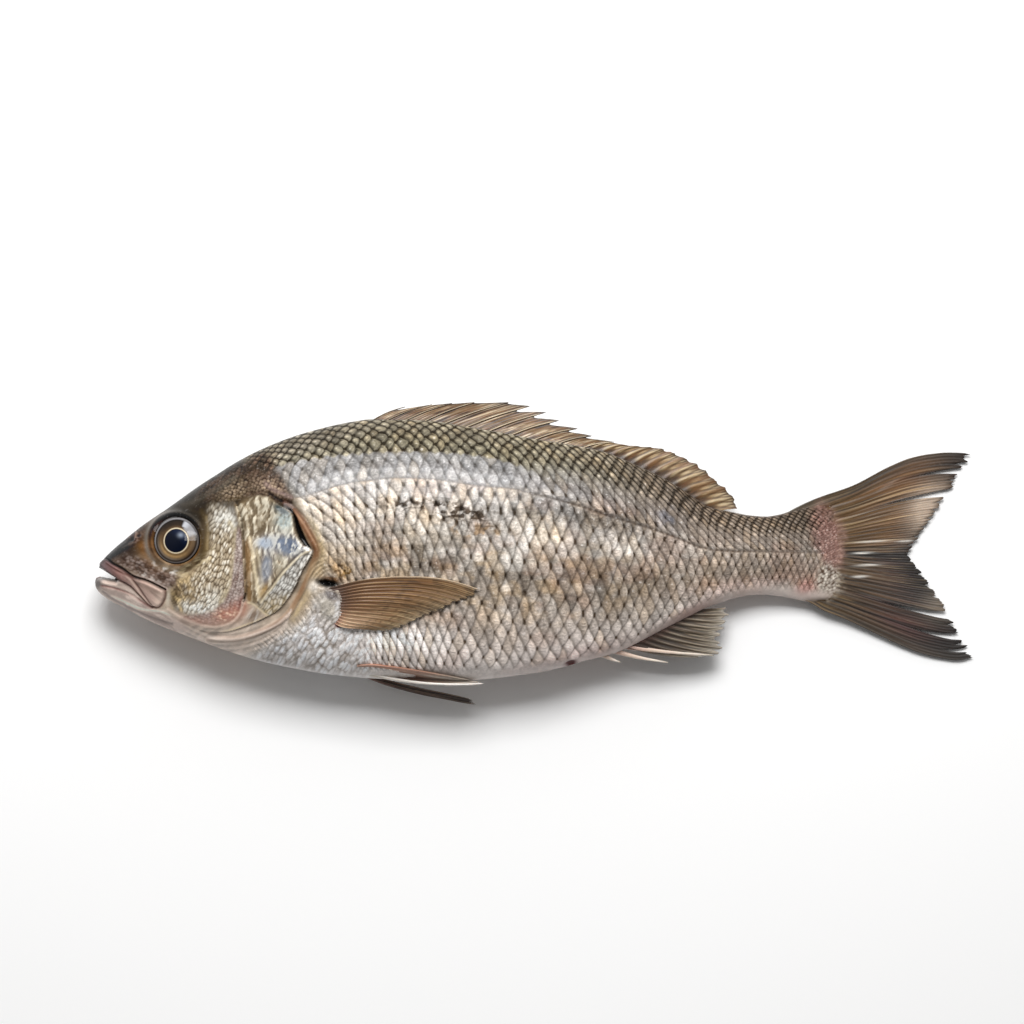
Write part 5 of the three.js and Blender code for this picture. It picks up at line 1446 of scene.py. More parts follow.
# =====================================================================================
# Eyes
# =====================================================================================
def eye_piece(name, near):
    rings, spokes = 56, 144
    r_out = 23.9 * UNIT
    x0, y0 = from_view(EYE_V[0], EYE_V[1], middle_z(-133) + 16.5)
    base = float(flank(np.array(x0), np.array(y0)))
    e = 1.0
    gx = float(flank(np.array(x0 + e), np.array(y0)) - flank(np.array(x0 - e), np.array(y0))) / (2 * e) * 0.75
    gy = float(flank(np.array(x0), np.array(y0 + e)) - flank(np.array(x0), np.array(y0 - e))) / (2 * e) * 0.75
    big = 17.5
    r = np.linspace(0, 1, rings) ** 0.85 * r_out
    th = np.linspace(0, 2 * math.pi, spokes + 1)
    R, T = np.meshgrid(r, th, indexing="ij")
    dx, dy = R * np.cos(T), R * np.sin(T)
    rel = np.sqrt(big**2 - R**2) - math.sqrt(big**2 - r_out**2)
    rel = rel - 1.6 * sstep(0.90, 1.0, R / r_out) ** 2
    side = base - 0.35 + gx * dx + gy * dy + rel
    zz = middle_z(x0) + (side if near else -side)
    P = np.stack([x0 + dx, y0 + dy, zz], axis=-1)
    q = R / UNIT
    qq, tt = q.ravel(), T.ravel()
    ring_n = fbm(np.cos(tt) * 3 + 10, np.sin(tt) * 3 + qq / 3.0, 301)
    spoke_n = vnoise(tt * 14.0, qq / 7.0, 307)
    c = np.zeros((qq.size, 3))
    iris_in, iris_out = lin(104, 80, 54), lin(56, 42, 29)
    kk = sstep(13, 21, qq)[:, None]
    c[:] = iris_in * (1 - kk) + iris_out * kk
    c = over(c, lin(27, 20, 16), sstep(0.0, 0.75, np.sin(tt + 0.10)) * sstep(12.5, 16, qq) * 0.88)
    c = over(c, lin(168, 136, 92), sstep(0.1, 1.0, -np.sin(tt + 0.35)) * np.exp(-(((qq - 15.6) / 2.2) ** 2)) * 0.7)
    c = over(c, lin(136, 124, 112), sstep(0.2, 1.0, -np.cos(tt - 0.9)) * np.exp(-(((qq - 19.0) / 1.6) ** 2)) * 0.5)
    c = over(c, lin(120, 100, 78), sstep(0.5, 1.0, np.cos(tt - 0.2)) * np.exp(-(((qq - 17.5) / 3.0) ** 2)) * 0.4)
    c = c * (0.72 + 0.36 * ring_n + 0.16 * spoke_n)[:, None]
    c = over(c, lin(38, 28, 20), np.exp(-(((qq - 14.2) / 0.8) ** 2)) * 0.45)
    c = over(c, lin(20, 16, 14), np.exp(-(((qq - 20.0) / 0.9) ** 2)) * 0.75)
    c = over(c, lin(118, 116, 118), sstep(20.6, 21.3, qq) * (1 - sstep(22.2, 23.0, qq)) * (0.45 + 0.55 * sstep(-0.2, 0.8, np.sin(tt - 0.6))))
    c = over(c, lin(24, 20, 18), sstep(22.4, 23.4, qq))
    c = over(c, lin(216, 204, 176), sstep(11.5, 12.0, qq) * (1 - sstep(12.3, 13.0, qq)) * 0.9)
    pup = lin(4, 9, 24)[None, :] + (lin(20, 38, 74) - lin(4, 9, 24))[None, :] * (sstep(0.0, 1.0, np.cos(tt - 0.9)) * sstep(2, 10, qq) * 0.30)[:, None]
    mp = (1 - sstep(11.2, 11.8, qq))[:, None]
    c = c * (1 - mp) + pup * mp
    # softened light caught by the wet cornea
    ex, ey = qq * np.cos(tt), qq * np.sin(tt)
    band = sstep(14.0, 16.0, qq) * (1 - sstep(20.0, 21.2, qq)) * sstep(0.16, 0.34, tt / math.pi) * (1 - sstep(0.36, 0.40, tt / math.pi))
    band = np.maximum(band, 0.55 * sstep(12.6, 14.0, qq) * (1 - sstep(20.0, 21.2, qq)) * sstep(0.06, 0.14, tt / math.pi) * (1 - sstep(0.30, 0.36, tt / math.pi)))
    c = over(c, lin(186, 188, 194), band * 0.85)
    c = over(c, lin(150, 160, 176), np.exp(-((((ex - 4.6) / 3.0) ** 2) + ((ey - 5.6) / 2.4) ** 2)) * 0.65 * mp[:, 0])
    faces = grid_faces(rings, spokes + 1, flip=near is False)
    uv = np.stack([0.5 + 0.48 * (R / r_out) * np.cos(T), 0.5 + 0.48 * (R / r_out) * np.sin(T)], axis=-1).reshape(-1, 2)
    N = surface_normals(P)
    N[0] = N[1].mean(axis=0)
    if not near:
        N = -N
    P[..., 2] = np.maximum(P[..., 2], 0.12)
    ob = new_mesh(name, put(P).reshape(-1, 3), faces, {"OFBake": uv}, {"tint": rgba(c)}, normals=N.reshape(-1, 3) / np.linalg.norm(N.reshape(-1, 3), axis=1, keepdims=True))
    ob.data.materials.append(MATS["eye"])
    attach(ob, "root")
    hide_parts("fish")
    return ob


eye_piece("eye_upper_side", True)
eye_piece("eye_lower_side", False)


# =====================================================================================
# Fins. A fin is a sheet of two faces over a fan grid: a runs across the rays, r along them.
# =====================================================================================
def fin_piece(name, na, nr, place, half, paint_fin, mat="fin", floor=True):
    a = np.linspace(0, 1, na)
    r = np.linspace(0, 1, nr)
    A, R = np.meshgrid(a, r, indexing="ij")
    mid = place(A, R)  # (na, nr, 3)
    N = surface_normals(mid)
    if N[..., 2].mean() < 0:
        N = -N
    h = half(A, R)
    top = mid + N * h[..., None]
    low = mid - N * h[..., None]
    c = paint_fin(A, R, mid)
    V = np.concatenate([top.reshape(-1, 3), low.reshape(-1, 3)])
    if floor:
        V[:, 2] = np.maximum(V[:, 2], 0.1)
    n = na * nr
    test = surface_normals(mid)[..., 2].mean() > 0
    f1 = grid_faces(na, nr, flip=not test)
    f2 = grid_faces(na, nr, flip=test) + n
    rim = []
    ring = [i * nr for i in range(na)] + [(na - 1) * nr + j for j in range(1, nr)] + [i * nr + nr - 1 for i in range(na - 2, -1, -1)] + [j for j in range(nr - 2, 0, -1)]
    ring = np.array(ring)
    nxt = np.roll(ring, -1)
    side = np.stack([ring, ring + n, nxt + n, nxt], axis=-1)
    if not test:
        side = side[:, ::-1]
    faces = np.concatenate([f1, f2, side])
    uv1 = np.stack([0.01 + 0.48 * A, 0.01 + 0.98 * R], axis=-1).reshape(-1, 2)
    uv2 = np.stack([0.51 + 0.48 * A, 0.01 + 0.98 * R], axis=-1).reshape(-1, 2)
    C = rgba(np.clip(np.concatenate([c, c]), 0.002, 0.95))
    ob = new_mesh(name, put(V), faces, {"OFBake": np.concatenate([uv1, uv2])}, {"tint": C})
    ob.data.materials.append(MATS[mat])
    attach(ob, "root")
    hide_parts("fish")
    return ob


def view_path(rows):
    rows = np.asarray(rows, float)
    x = column_x(rows[:, 0])
    x2, y2 = from_view(rows[:, 0], rows[:, 1], middle_z(x))
    return Path(np.c_[x2, y2])


# ------------------------------------------------------------------------- tail fin
def tail_reach(A):
    reach = 1.0 - 0.022 * vnoise(A * 90, A * 0, 401) - 0.018 * vnoise(A * 230, A * 0, 403)
    for at, depth, width in TAIL_SLITS:
        reach = reach - depth * notch(A, at, width)
    return reach


def tail_place(A, R):
    # finer columns cannot be had where the lobes meet, so both lobes share the middle ray
    reach = tail_reach(A)
    r = R * reach
    kk = np.abs(1 - 2 * A)
    up = A < 0.5

    def ray_at(q):
        ux, uy = TAIL_UP(q)
        lx, ly = TAIL_LOW(q)
        mx, my = TAIL_MID(q)
        ex, ey = np.where(up, ux, lx), np.where(up, uy, ly)
        return mx + (ex - mx) * kk, my + (ey - my) * kk

    x, y = ray_at(r)
    x0, y0 = ray_at(r * 0)
    x1, y1 = ray_at(r * 0 + 1)
    even = 0.8 * (1 - kk**3)  # only the outer rays follow the bent edge
    x = x + (x0 + (x1 - x0) * r - x) * even
    y = y + (y0 + (y1 - y0) * r - y) * even
    x = x + np.where(up, 0.6, 1.6) * np.sin(math.pi * kk) * r**2
    wave = 0.14 * np.sin(A * 23 + 2.0 * R) * sstep(0.25, 1.0, R)
    z = middle_z(x) + wave
    return np.stack([x, y, z], axis=-1)


def tail_half(A, R):
    ray = ray_profile(A, R, TAIL_RAYS)
    base = lerp(0.95, 0.16, sstep(0.0, 0.55, R))
    return (base + lerp(0.16, 0.07, R) * ray) * lerp(1.0, 0.4, sstep(0.96, 1.0, R))


def tail_paint(A, R, mid):
    px, py = to_view(mid[..., 0].ravel(), mid[..., 1].ravel(), mid[..., 2].ravel())
    c = tail_colour(A.ravel(), R.ravel(), px, py)
    return root_grains(c, px, py)[0]


fin_piece("tail_fin", 380, 90, tail_place, tail_half, tail_paint)

# ------------------------------------------------------------------------- back fin
SPINE_BASE_V = [(371, 421), (384, 421.5), (401, 422.5), (420, 423.5), (441, 425), (463, 428.5), (486, 432.5), (508, 436.5), (531, 441), (554, 445), (578, 449.5)]
SPINE_TIP_V = [(405, 407), (431.8, 404.6), (452, 403.2), (474, 402.3), (508.6, 402.2), (530, 406), (546, 412.3), (558.8, 420.6), (577.5, 428.6), (592, 436), (614, 442)]
SOFT_BASE = view_path([(574, 450.5), (588, 454.5), (602, 459), (620.5, 467.5), (638, 476), (655.5, 485), (673, 495.5), (690, 507), (702, 516)])
SOFT_TIP = view_path([(600, 440.8), (617, 443.2), (628, 445.2), (642, 446.4), (657, 447.4), (674, 452.4), (688, 459), (699, 465.3), (708, 472), (715.5, 479.5), (724.5, 486.9), (731.6, 494), (736.5, 501.5), (737.6, 508.6)])
SPINES = len(SPINE_BASE_V)
sb, st = np.asarray(SPINE_BASE_V, float), np.asarray(SPINE_TIP_V, float)
sbx, sby = from_view(sb[:, 0], sb[:, 1], middle_z(column_x(sb[:, 0])))
stx, sty = from_view(st[:, 0], st[:, 1], middle_z(column_x(st[:, 0])))


def back_spiny_place(A, R):
    p = A * (SPINES - 1)
    i = np.clip(np.floor(p), 0, SPINES - 2).astype(int)
    t = p - i
    bx, by = lerp(sbx[i], sbx[i + 1], t), lerp(sby[i], sby[i + 1], t)
    tx, ty = lerp(stx[i], stx[i + 1], t), lerp(sty[i], sty[i + 1], t)
    # the web reaches a spine's tip at its hind side and falls away before the next one
    depth = np.where(i < 5, 0.05, 0.24) * np.where(i == 0, 6.5, 1.0)
    sag = np.sin(math.pi * np.clip(t, 0, 1) ** 0.45) ** 1.2
    spine = np.exp(-((np.minimum(t, 1 - t) / 0.045) ** 2))
    reach = 1 - depth * sag * (1 - spine)
    r = R * reach
    bow = 1.1 * np.sin(math.pi * r)
    dx, dy = tx - bx, ty - by
    ln = np.hypot(dx, dy)
    x = bx + dx * r - dy / ln * bow * 0.6
    y = by + dy * r + dx / ln * bow * 0.6
    z = middle_z(x) + 1.0 * np.sin(A * 9.0) * R * 0.5 + 0.6 * (p % 2 - 0.5) * R * 0
    return np.stack([x, y, z], axis=-1)


def spiny_half(A, R):
    p = A * (SPINES - 1)
    t = np.abs(p - np.round(p))
    spine = np.exp(-((t / 0.055) ** 2))
    fold = 0.5 + 0.5 * np.cos(2 * math.pi * p * 4)
    return lerp(0.75, 0.16, sstep(0, 0.4, R)) + lerp(0.72, 0.30, R) * spine + 0.08 * fold * (1 - R * 0.5)


def spiny_paint(A, R, mid):
    a, r = A.ravel(), R.ravel()
    p = a * (SPINES - 1)
    t = np.abs(p - np.round(p))
    tt = p - np.floor(p)
    streak = fbm(a * 75, r * 2.2, 431)
    fine = vnoise(a * 210, r * 4, 433)
    c = ramp(r, [(0.0, 84, 70, 54), (0.2, 116, 92, 66), (0.6, 136, 108, 76), (0.9, 118, 96, 72), (1.0, 74, 60, 48)])
    c = over(c, lin(220, 200, 170), sstep(0.55, 0.72, streak) * sstep(0.3, 0.6, fine) * 0.75)
    c = over(c, lin(146, 100, 64), sstep(0.52, 0.40, streak) * 0.6)
    c = over(c, lin(50, 36, 26), sstep(0.46, 0.32, streak) * 0.9)
    c = over(c, lin(34, 26, 20), np.exp(-(((t - 0.09) / 0.042) ** 2)) * 0.92)
    c = over(c, lin(224, 206, 178), np.exp(-((t / 0.045) ** 2)) * 0.8 * (1 - sstep(0.82, 0.96, r)))
    c = over(c, lin(44, 35, 29), sstep(0.92, 1.0, r) * 0.85)
    return c * (0.80 + 0.3 * fine)[:, None]


fin_piece("back_fin_spiny", 331, 44, back_spiny_place, spiny_half, spiny_paint)
SOFT_RAYS = 13


def back_soft_place(A, R):
    bx, by = SOFT_BASE(A)
    tx, ty = SOFT_TIP(A)
    p = A * SOFT_RAYS
    reach = 1 - 0.045 * (0.5 - 0.5 * np.cos(2 * math.pi * p)) - 0.03 * vnoise(A * 70, A * 0, 441)
    r = R * reach
    bow = 1.5 * np.sin(math.pi * r) * (1 - 0.6 * A) * sstep(-0.02, 0.12, A)
    dx, dy = tx - bx, ty - by
    ln = np.maximum(np.hypot(dx, dy), 1e-3)
    x = bx + dx * r - dy / ln * bow
    y = by + dy * r + dx / ln * bow
    z = middle_z(x) + 0.35 * np.sin(A * 11) * R
    return np.stack([x, y, z], axis=-1)


def soft_half(A, R):
    ray = 0.5 + 0.5 * np.cos(2 * math.pi * A * SOFT_RAYS)
    return lerp(0.7, 0.14, sstep(0, 0.4, R)) + lerp(0.42, 0.14, R) * ray**2


def soft_paint(A, R, mid):
    a, r = A.ravel(), R.ravel()
    p = a * SOFT_RAYS
    ray = 0.5 + 0.5 * np.cos(2 * math.pi * p)
    streak = fbm(a * 60, r * 2, 451)
    fine = vnoise(a * 180, r * 6, 453)
    two = ray_profile(a, r, SOFT_RAYS, 0.55)
    c = ramp(r, [(0.0, 46, 34, 25), (0.30, 62, 45, 31), (0.50, 140, 112, 76), (0.75, 176, 150, 114), (0.93, 136, 116, 90), (1.0, 84, 72, 58)])
    c = over(c, lin(66, 46, 28), np.clip(1 - 1.5 * two, 0, 1) * (0.80 + 0.2 * streak))
    c = over(c, lin(226, 208, 172), np.clip(two * 1.4 - 0.55, 0, 1) * sstep(0.25, 0.5, r) * (1 - sstep(0.85, 1, r)) * sstep(0.4, 0.65, streak) * 0.75)
    c = over(c, lin(120, 78, 44), sstep(0.5, 0.3, streak) * sstep(0.2, 0.4, r) * 0.5)
    return c * (0.82 + 0.3 * fine)[:, None]


fin_piece("back_fin_soft", 220, 40, back_soft_place, soft_half, soft_paint)

# ------------------------------------------------------------------------- anal fin
ANAL_SPINES_V = [((599, 652), (620.4, 662.2)), ((612, 650.5), (668.2, 662.6)), ((624, 646.5), (714, 655.4))]
ANAL_BASE = view_path([(622, 646.5), (638, 638.5), (652, 631), (666, 623.6), (679, 616), (690, 610)])
ANAL_TIP = view_path([(700, 657), (716, 656.2), (727, 648), (722.5, 641.6), (723.5, 633), (727, 624.5), (729, 616), (728, 607.5)])
ANAL_RAYS = 10


def anal_place(A, R):
    bx, by = ANAL_BASE(A)
    tx, ty = ANAL_TIP(A)
    p = A * ANAL_RAYS
    reach = 1 - 0.10 * (0.5 - 0.5 * np.cos(2 * math.pi * p)) - 0.08 * vnoise(A * 60, A * 0, 461)
    r = R * reach
    bow = -1.3 * np.sin(math.pi * r) * (1 - A)
    dx, dy = tx - bx, ty - by
    ln = np.maximum(np.hypot(dx, dy), 1e-3)
    x = bx + dx * r - dy / ln * bow
    y = by + dy * r + dx / ln * bow
    z = middle_z(x) + 0.3 * np.sin(A * 12) * R
    return np.stack([x, y, z], axis=-1)


def anal_half(A, R):
    ray = 0.5 + 0.5 * np.cos(2 * math.pi * A * ANAL_RAYS)
    return lerp(0.8, 0.13, sstep(0, 0.35, R)) + lerp(0.5, 0.12, R) * ray**2


def anal_paint(A, R, mid):
    a, r = A.ravel(), R.ravel()
    p = a * ANAL_RAYS
    ray = 0.5 + 0.5 * np.cos(2 * math.pi * p)
    streak = fbm(a * 50, r * 2, 471)
    fine = vnoise(a * 170, r * 6, 473)
    c = ramp(r, [(0.0, 150, 108, 98), (0.10, 104, 78, 66), (0.3, 86, 70, 54), (0.6, 112, 96, 76), (0.85, 156, 144, 126), (1.0, 196, 188, 174)])
    two = ray_profile(a, r, ANAL_RAYS, 0.5)
    dark = np.clip(1 - 1.4 * two, 0, 1) * sstep(0.06, 0.22, r) * (1 - 0.5 * sstep(0.75, 1, r))
    c = over(c, lin(38, 30, 23), dark * (1 - 0.45 * sstep(0.55, 1.0, a)) * 0.92)
    c = over(c, lin(70, 54, 42), sstep(0.5, 0.3, streak) * 0.5)
    c = over(c, lin(214, 200, 178), np.clip(two * 1.3 - 0.6, 0, 1) * 0.6 * sstep(0.1, 0.3, r) * sstep(0.35, 0.6, streak))
    c = over(c, lin(190, 136, 118), sstep(0.75, 1.0, a) * sstep(0.35, 0.0, r) * 0.7)
    c = over(c, lin(54, 40, 32), sstep(0.5, 0.0, a) * sstep(0.75, 0.45, r) * sstep(0.04, 0.15, r) * 0.75)
    return c * ((0.84 + 0.28 * fine) * (0.80 - 0.12 * sstep(0.5, 0.1, a)))[:, None]


fin_piece("anal_fin_soft", 180, 40, anal_place, anal_half, anal_paint)


def spine_piece(name, path, z_of, r0, r1, colors, flat=0.7, mat="fin_pale", rows=40, around=14):
    """A tapering spine along a path of side-view points; z_of gives its height."""
    t = np.linspace(0, 1, rows)
    x, y = path(t)
    z = z_of(x, y, t)
    mid = np.stack([x, y, z], axis=-1)
    tan = np.gradient(mid, axis=0)
    tan /= np.linalg.norm(tan, axis=1, keepdims=True)
    side = np.cross(tan, np.array([0, 0, 1.0]))
    side /= np.linalg.norm(side, axis=1, keepdims=True)
    upv = np.cross(side, tan)
    rad = lerp(r0, r1, t**1.1) * np.sqrt(np.clip(1 - ((t - 0.97) / 0.03).clip(0, 1) ** 2 * 0.9, 0, 1)) * (0.75 + 0.25 * sstep(0, 0.06, t))
    th = np.linspace(0, 2 * math.pi, around + 1)
    P = mid[:, None, :] + rad[:, None, None] * (np.cos(th)[None, :, None] * side[:, None, :] + flat * np.sin(th)[None, :, None] * upv[:, None, :])
    P = np.concatenate([mid[:1, None, :].repeat(around + 1, 1), P, mid[-1:, None, :].repeat(around + 1, 1)])
    P[..., 2] = np.maximum(P[..., 2], 0.1)
    tt = np.concatenate([[0], t, [1]])
    c = ramp(tt, colors)[:, None, :].repeat(around + 1, 1).reshape(-1, 3)
    A2, T2 = np.meshgrid(tt, th / (2 * math.pi), indexing="ij")
    ob = new_mesh(name, put(P).reshape(-1, 3), grid_faces(rows + 2, around + 1, flip=True), {"OFBake": np.stack([0.01 + 0.98 * A2, 0.01 + 0.98 * T2], axis=-1).reshape(-1, 2)}, {"tint": rgba(c)})
    ob.data.materials.append(MATS[mat])
    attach(ob, "root")
    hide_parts("fish")
    return ob


for k, (b0, b1) in enumerate(ANAL_SPINES_V):
    mx_, my_ = (b0[0] + b1[0]) / 2, (b0[1] + b1[1]) / 2 + 1.2
    spine_piece(f"anal_spine_{k + 1}", view_path([b0, (mx_, my_), b1]), lambda x, y, t: middle_z(x) + 0.3, 1.0, 0.25, [(0, 196, 160, 148), (0.3, 214, 190, 172), (0.8, 226, 214, 200), (1.0, 170, 160, 146)])

# ------------------------------------------------------------------------- breast fins
BREAST_UP = [(325, 589.5), (333, 587.0), (341.5, 584.8), (353, 581.6), (366, 579.0), (383, 577.2), (399.5, 576.4), (416, 576.4), (432.7, 577.4), (446, 579.4), (457.5, 582.2), (469, 585.8), (479, 589.4)]
BREAST_LOW = [(332, 622), (340.5, 627.0), (349, 628.2), (358, 628.6), (367, 629.4), (375, 630.6)]
BREAST_TIP = [(479, 589.4), (478, 593.4), (474, 597.2), (465.5, 599.8), (457.5, 602.2), (450, 606.2), (442.6, 609.6), (432, 613.2), (422.7, 617.0), (414, 621.6), (406, 625.2), (393, 629.8), (384, 630.9), (375, 630.8)]
BREAST_RAYS = 14


def breast_fn(near):
    def paths(rows):
        rows = np.asarray(rows, float)
        x, y = from_view(rows[:, 0], rows[:, 1], 41.5)
        return Path(np.c_[x, y])

    up, low, tips = paths(BREAST_UP), paths(BREAST_LOW), paths(BREAST_TIP)

    def place(A, R):
        p = A * BREAST_RAYS
        reach = 1 - 0.02 * (0.5 - 0.5 * np.cos(2 * math.pi * p)) - 0.025 * vnoise(A * 80, A * 0, 481)
        r = R * reach
        ux, uy = up(r)
        lx, ly = low(r)
        tx, ty = tips(A)
        # a ray: starts on the base edge, ends on the tip curve
        b0x, b0y = up(0.0)
        b1x, b1y = low(0.0)
        bx, by = lerp(b0x, b1x, A), lerp(b0y, b1y, A)
        bx = bx + 2.2 * np.sin(math.pi * A)
        sx, sy = bx + (tx - bx) * r, by + (ty - by) * r
        # bow of the upper edge carried over to the rays below it
        e0x, e0y = up(0.0)
        e1x, e1y = up(1.0)
        bowx, bowy = ux - (e0x + (e1x - e0x) * r), uy - (e0y + (e1y - e0y) * r)
        f0x, f0y = low(0.0)
        f1x, f1y = low(1.0)
        bow2x, bow2y = lx - (f0x + (f1x - f0x) * r), ly - (f0y + (f1y - f0y) * r)
        x = sx + bowx * (1 - A) ** 1.3 + bow2x * A**2
        y = sy + bowy * (1 - A) ** 1.3 + bow2y * A**2
        lift = lerp(-0.7, 1.5, sstep(0.0, 0.30, R)) + 0.5 * np.sin(math.pi * R) + 0.25 * np.sin(A * 15 + R * 3) * R
        s = flank(x, y) + lift
        z = middle_z(x) + (s if near else -s)
        return np.stack([x, y, z], axis=-1)

    def half(A, R):
        ray = 0.5 + 0.5 * np.cos(2 * math.pi * A * BREAST_RAYS)
        lead = np.exp(-((A / 0.03) ** 2))
        return lerp(0.6, 0.14, sstep(0, 0.3, R)) + lerp(0.22, 0.09, R) * ray**2 + 0.22 * lead * (1 - R)

    def tint(A, R, mid):
        a, r = A.ravel(), R.ravel()
        p = a * BREAST_RAYS
        ray = 0.5 + 0.5 * np.cos(2 * math.pi * p)
        streak = fbm(a * 60, r * 3, 491)
        fine = vnoise(a * 190, r * 9, 493)
        two = ray_profile(a, r, BREAST_RAYS, 0.42)
        four = sstep(0.25, 0.75, vnoise(a * 150, r * 5, 499))
        c = ramp(r, [(0.0, 140, 116, 106), (0.08, 112, 86, 74), (0.3, 150, 110, 72), (0.7, 156, 118, 78), (0.9, 152, 124, 92), (1.0, 168, 148, 122)])
        dark_k = 0.6 + 0.4 * fbm(a * 20, r * 2, 487)
        low_ = sstep(0.40, 0.95, a) * (1 - sstep(0.40, 0.85, r))
        c = over(c, lin(204, 168, 136), low_ * 0.85)
        c = over(c, lin(146, 92, 76), sstep(0.5, 1.0, a) * np.exp(-(((r - 0.10) / 0.06) ** 2)) * 0.7)
        c = over(c, lin(96, 82, 84), sstep(0.10, 0.01, r) * 0.5 * sstep(0.6, 0.2, a))
        c = over(c, lin(84, 62, 56), np.exp(-(((r - 0.05) / 0.055) ** 2)) * (0.35 + 0.40 * sstep(0.85, 0.3, a)))
        dark = np.clip(1 - 1.35 * two, 0, 1)
        c = over(c, lin(68, 48, 29), dark * dark_k * (0.85 - 0.50 * low_) * sstep(0.05, 0.16, r) * (1 - 0.4 * sstep(0.8, 1, r)))
        c = over(c, lin(92, 68, 42), four * 0.42 * (1 - 0.7 * low_))
        c = over(c, lin(204, 184, 144), np.clip(two * 1.3 - 0.65, 0, 1) * (1 - four) * 0.9 * sstep(0.1, 0.3, r))
        spots = sstep(0.55, 0.75, vnoise(p * 2.0, r * 30, 497)) * sstep(0.35, 0.6, r)
        c = over(c, lin(60, 44, 26), spots * (0.35 + 0.65 * dark) * 0.75)
        # painted highlight along the fin's upper edge
        c = over(c, lin(222, 210, 192), np.exp(-((a / 0.012) ** 2)) * 0.7 * sstep(0.1, 0.3, r))
        body = sstep(0.04, 0.14, r) * sstep(0.75, 0.35, a + 0.5 * (r - 0.5))
        c = c * (1 - body[:, None] * (1 - np.array([0.80, 0.70, 0.60])[None, :]))
        return c * (0.82 + 0.3 * fine)[:, None]

    return place, half, tint


for side_name, near in (("upper_side", True), ("lower_side", False)):
    pl, hf, tn = breast_fn(near)
    fin_piece(f"breast_fin_{side_name}", 240 if near else 150, 80 if near else 46, pl, hf, tn)

# ------------------------------------------------------------------------- belly fins
BELLY_NEAR_TOP = [(360, 663.5), (372, 662.8), (390, 664.6), (410, 667.6), (430, 671.2), (450, 675.2), (468, 679.2), (480, 682.0)]
BELLY_NEAR_LOW = [(353, 668.6), (366, 672.2), (383, 676.0), (400, 679.0), (416, 681.2), (433, 682.6), (449, 683.2), (466, 683.3), (482.5, 682.8)]
BELLY_FAR_TOP = [(366, 676), (390, 682.6), (410, 687.6), (430, 692.0), (450, 696.2), (471.5, 701.0)]
BELLY_FAR_LOW = [(364, 678), (385, 686.5), (405, 692.5), (425, 697.5), (445, 701.5), (462, 704.8), (479.0, 707.6)]


def two_edge_fin(name, top_rows, low_rows, z_of, na, nr, colour, thick=0.16, rays=6):
    a_path, b_path = view_path(top_rows), view_path(low_rows)

    def place(A, R):
        reach = 1 - 0.05 * (0.5 - 0.5 * np.cos(2 * math.pi * A * rays)) - 0.05 * vnoise(A * 40, A * 0, 501)
        r = R * reach
        ax, ay = a_path(r)
        bx, by = b_path(r)
        x, y = lerp(ax, bx, A), lerp(ay, by, A)
        return np.stack([x, y, z_of(x, y, A, R)], axis=-1)

    def half(A, R):
        ray = 0.5 + 0.5 * np.cos(2 * math.pi * A * rays)
        return (thick + lerp(0.30, 0.08, R) * ray**2) * lerp(1.0, 0.5, sstep(0.85, 1, R))

    return fin_piece(name, na, nr, place, half, colour)


def belly_near_paint(A, R, mid):
    a, r = A.ravel(), R.ravel()
    fine = vnoise(a * 60, r * 6, 511)
    c = ramp(r, [(0.0, 176, 138, 120), (0.2, 166, 116, 94), (0.55, 158, 118, 98), (0.8, 148, 132, 118), (1.0, 190, 180, 168)])
    c = over(c, lin(64, 42, 34), sstep(0.30, 0.70, a) * (1 - sstep(0.5, 0.8, r)) * 0.8)
    c = over(c, lin(196, 150, 124), np.exp(-(((a - 0.16) / 0.08) ** 2)) * (1 - sstep(0.4, 0.7, r)) * 0.7)
    c = over(c, lin(226, 214, 202), np.exp(-(((a - 0.30) / 0.10) ** 2)) * sstep(0.45, 0.7, r) * 0.8)
    c = over(c, lin(104, 96, 90), np.exp(-(((a - 0.62) / 0.14) ** 2)) * sstep(0.5, 0.7, r) * 0.7)
    return c * (0.85 + 0.3 * fine)[:, None]


def belly_far_paint(A, R, mid):
    a, r = A.ravel(), R.ravel()
    fine = vnoise(a * 60, r * 6, 521)
    p = a * 6
    line = sstep(0.35, 0.75, fbm(a * 22, r * 2.0, 523))
    c = ramp(r, [(0.0, 128, 98, 84), (0.25, 96, 70, 58), (0.6, 72, 54, 46), (0.9, 60, 48, 42), (1.0, 92, 82, 74)])
    c = over(c, lin(34, 26, 22), (1 - line) * 0.75)
    c = over(c, lin(176, 152, 136), line * (0.5 + 0.5 * np.cos(2 * math.pi * p)) * 0.55)
    c = over(c, lin(116, 108, 102), sstep(0.75, 1.0, a) * 0.55)
    return c * (0.85 + 0.3 * fine)[:, None]


def near_z(x, y, A, R):
    return lerp(middle_z(x) + flank(x, y) + 1.0, middle_z(x) + 3.6, sstep(0.0, 0.9, A)) + 0.6 * R


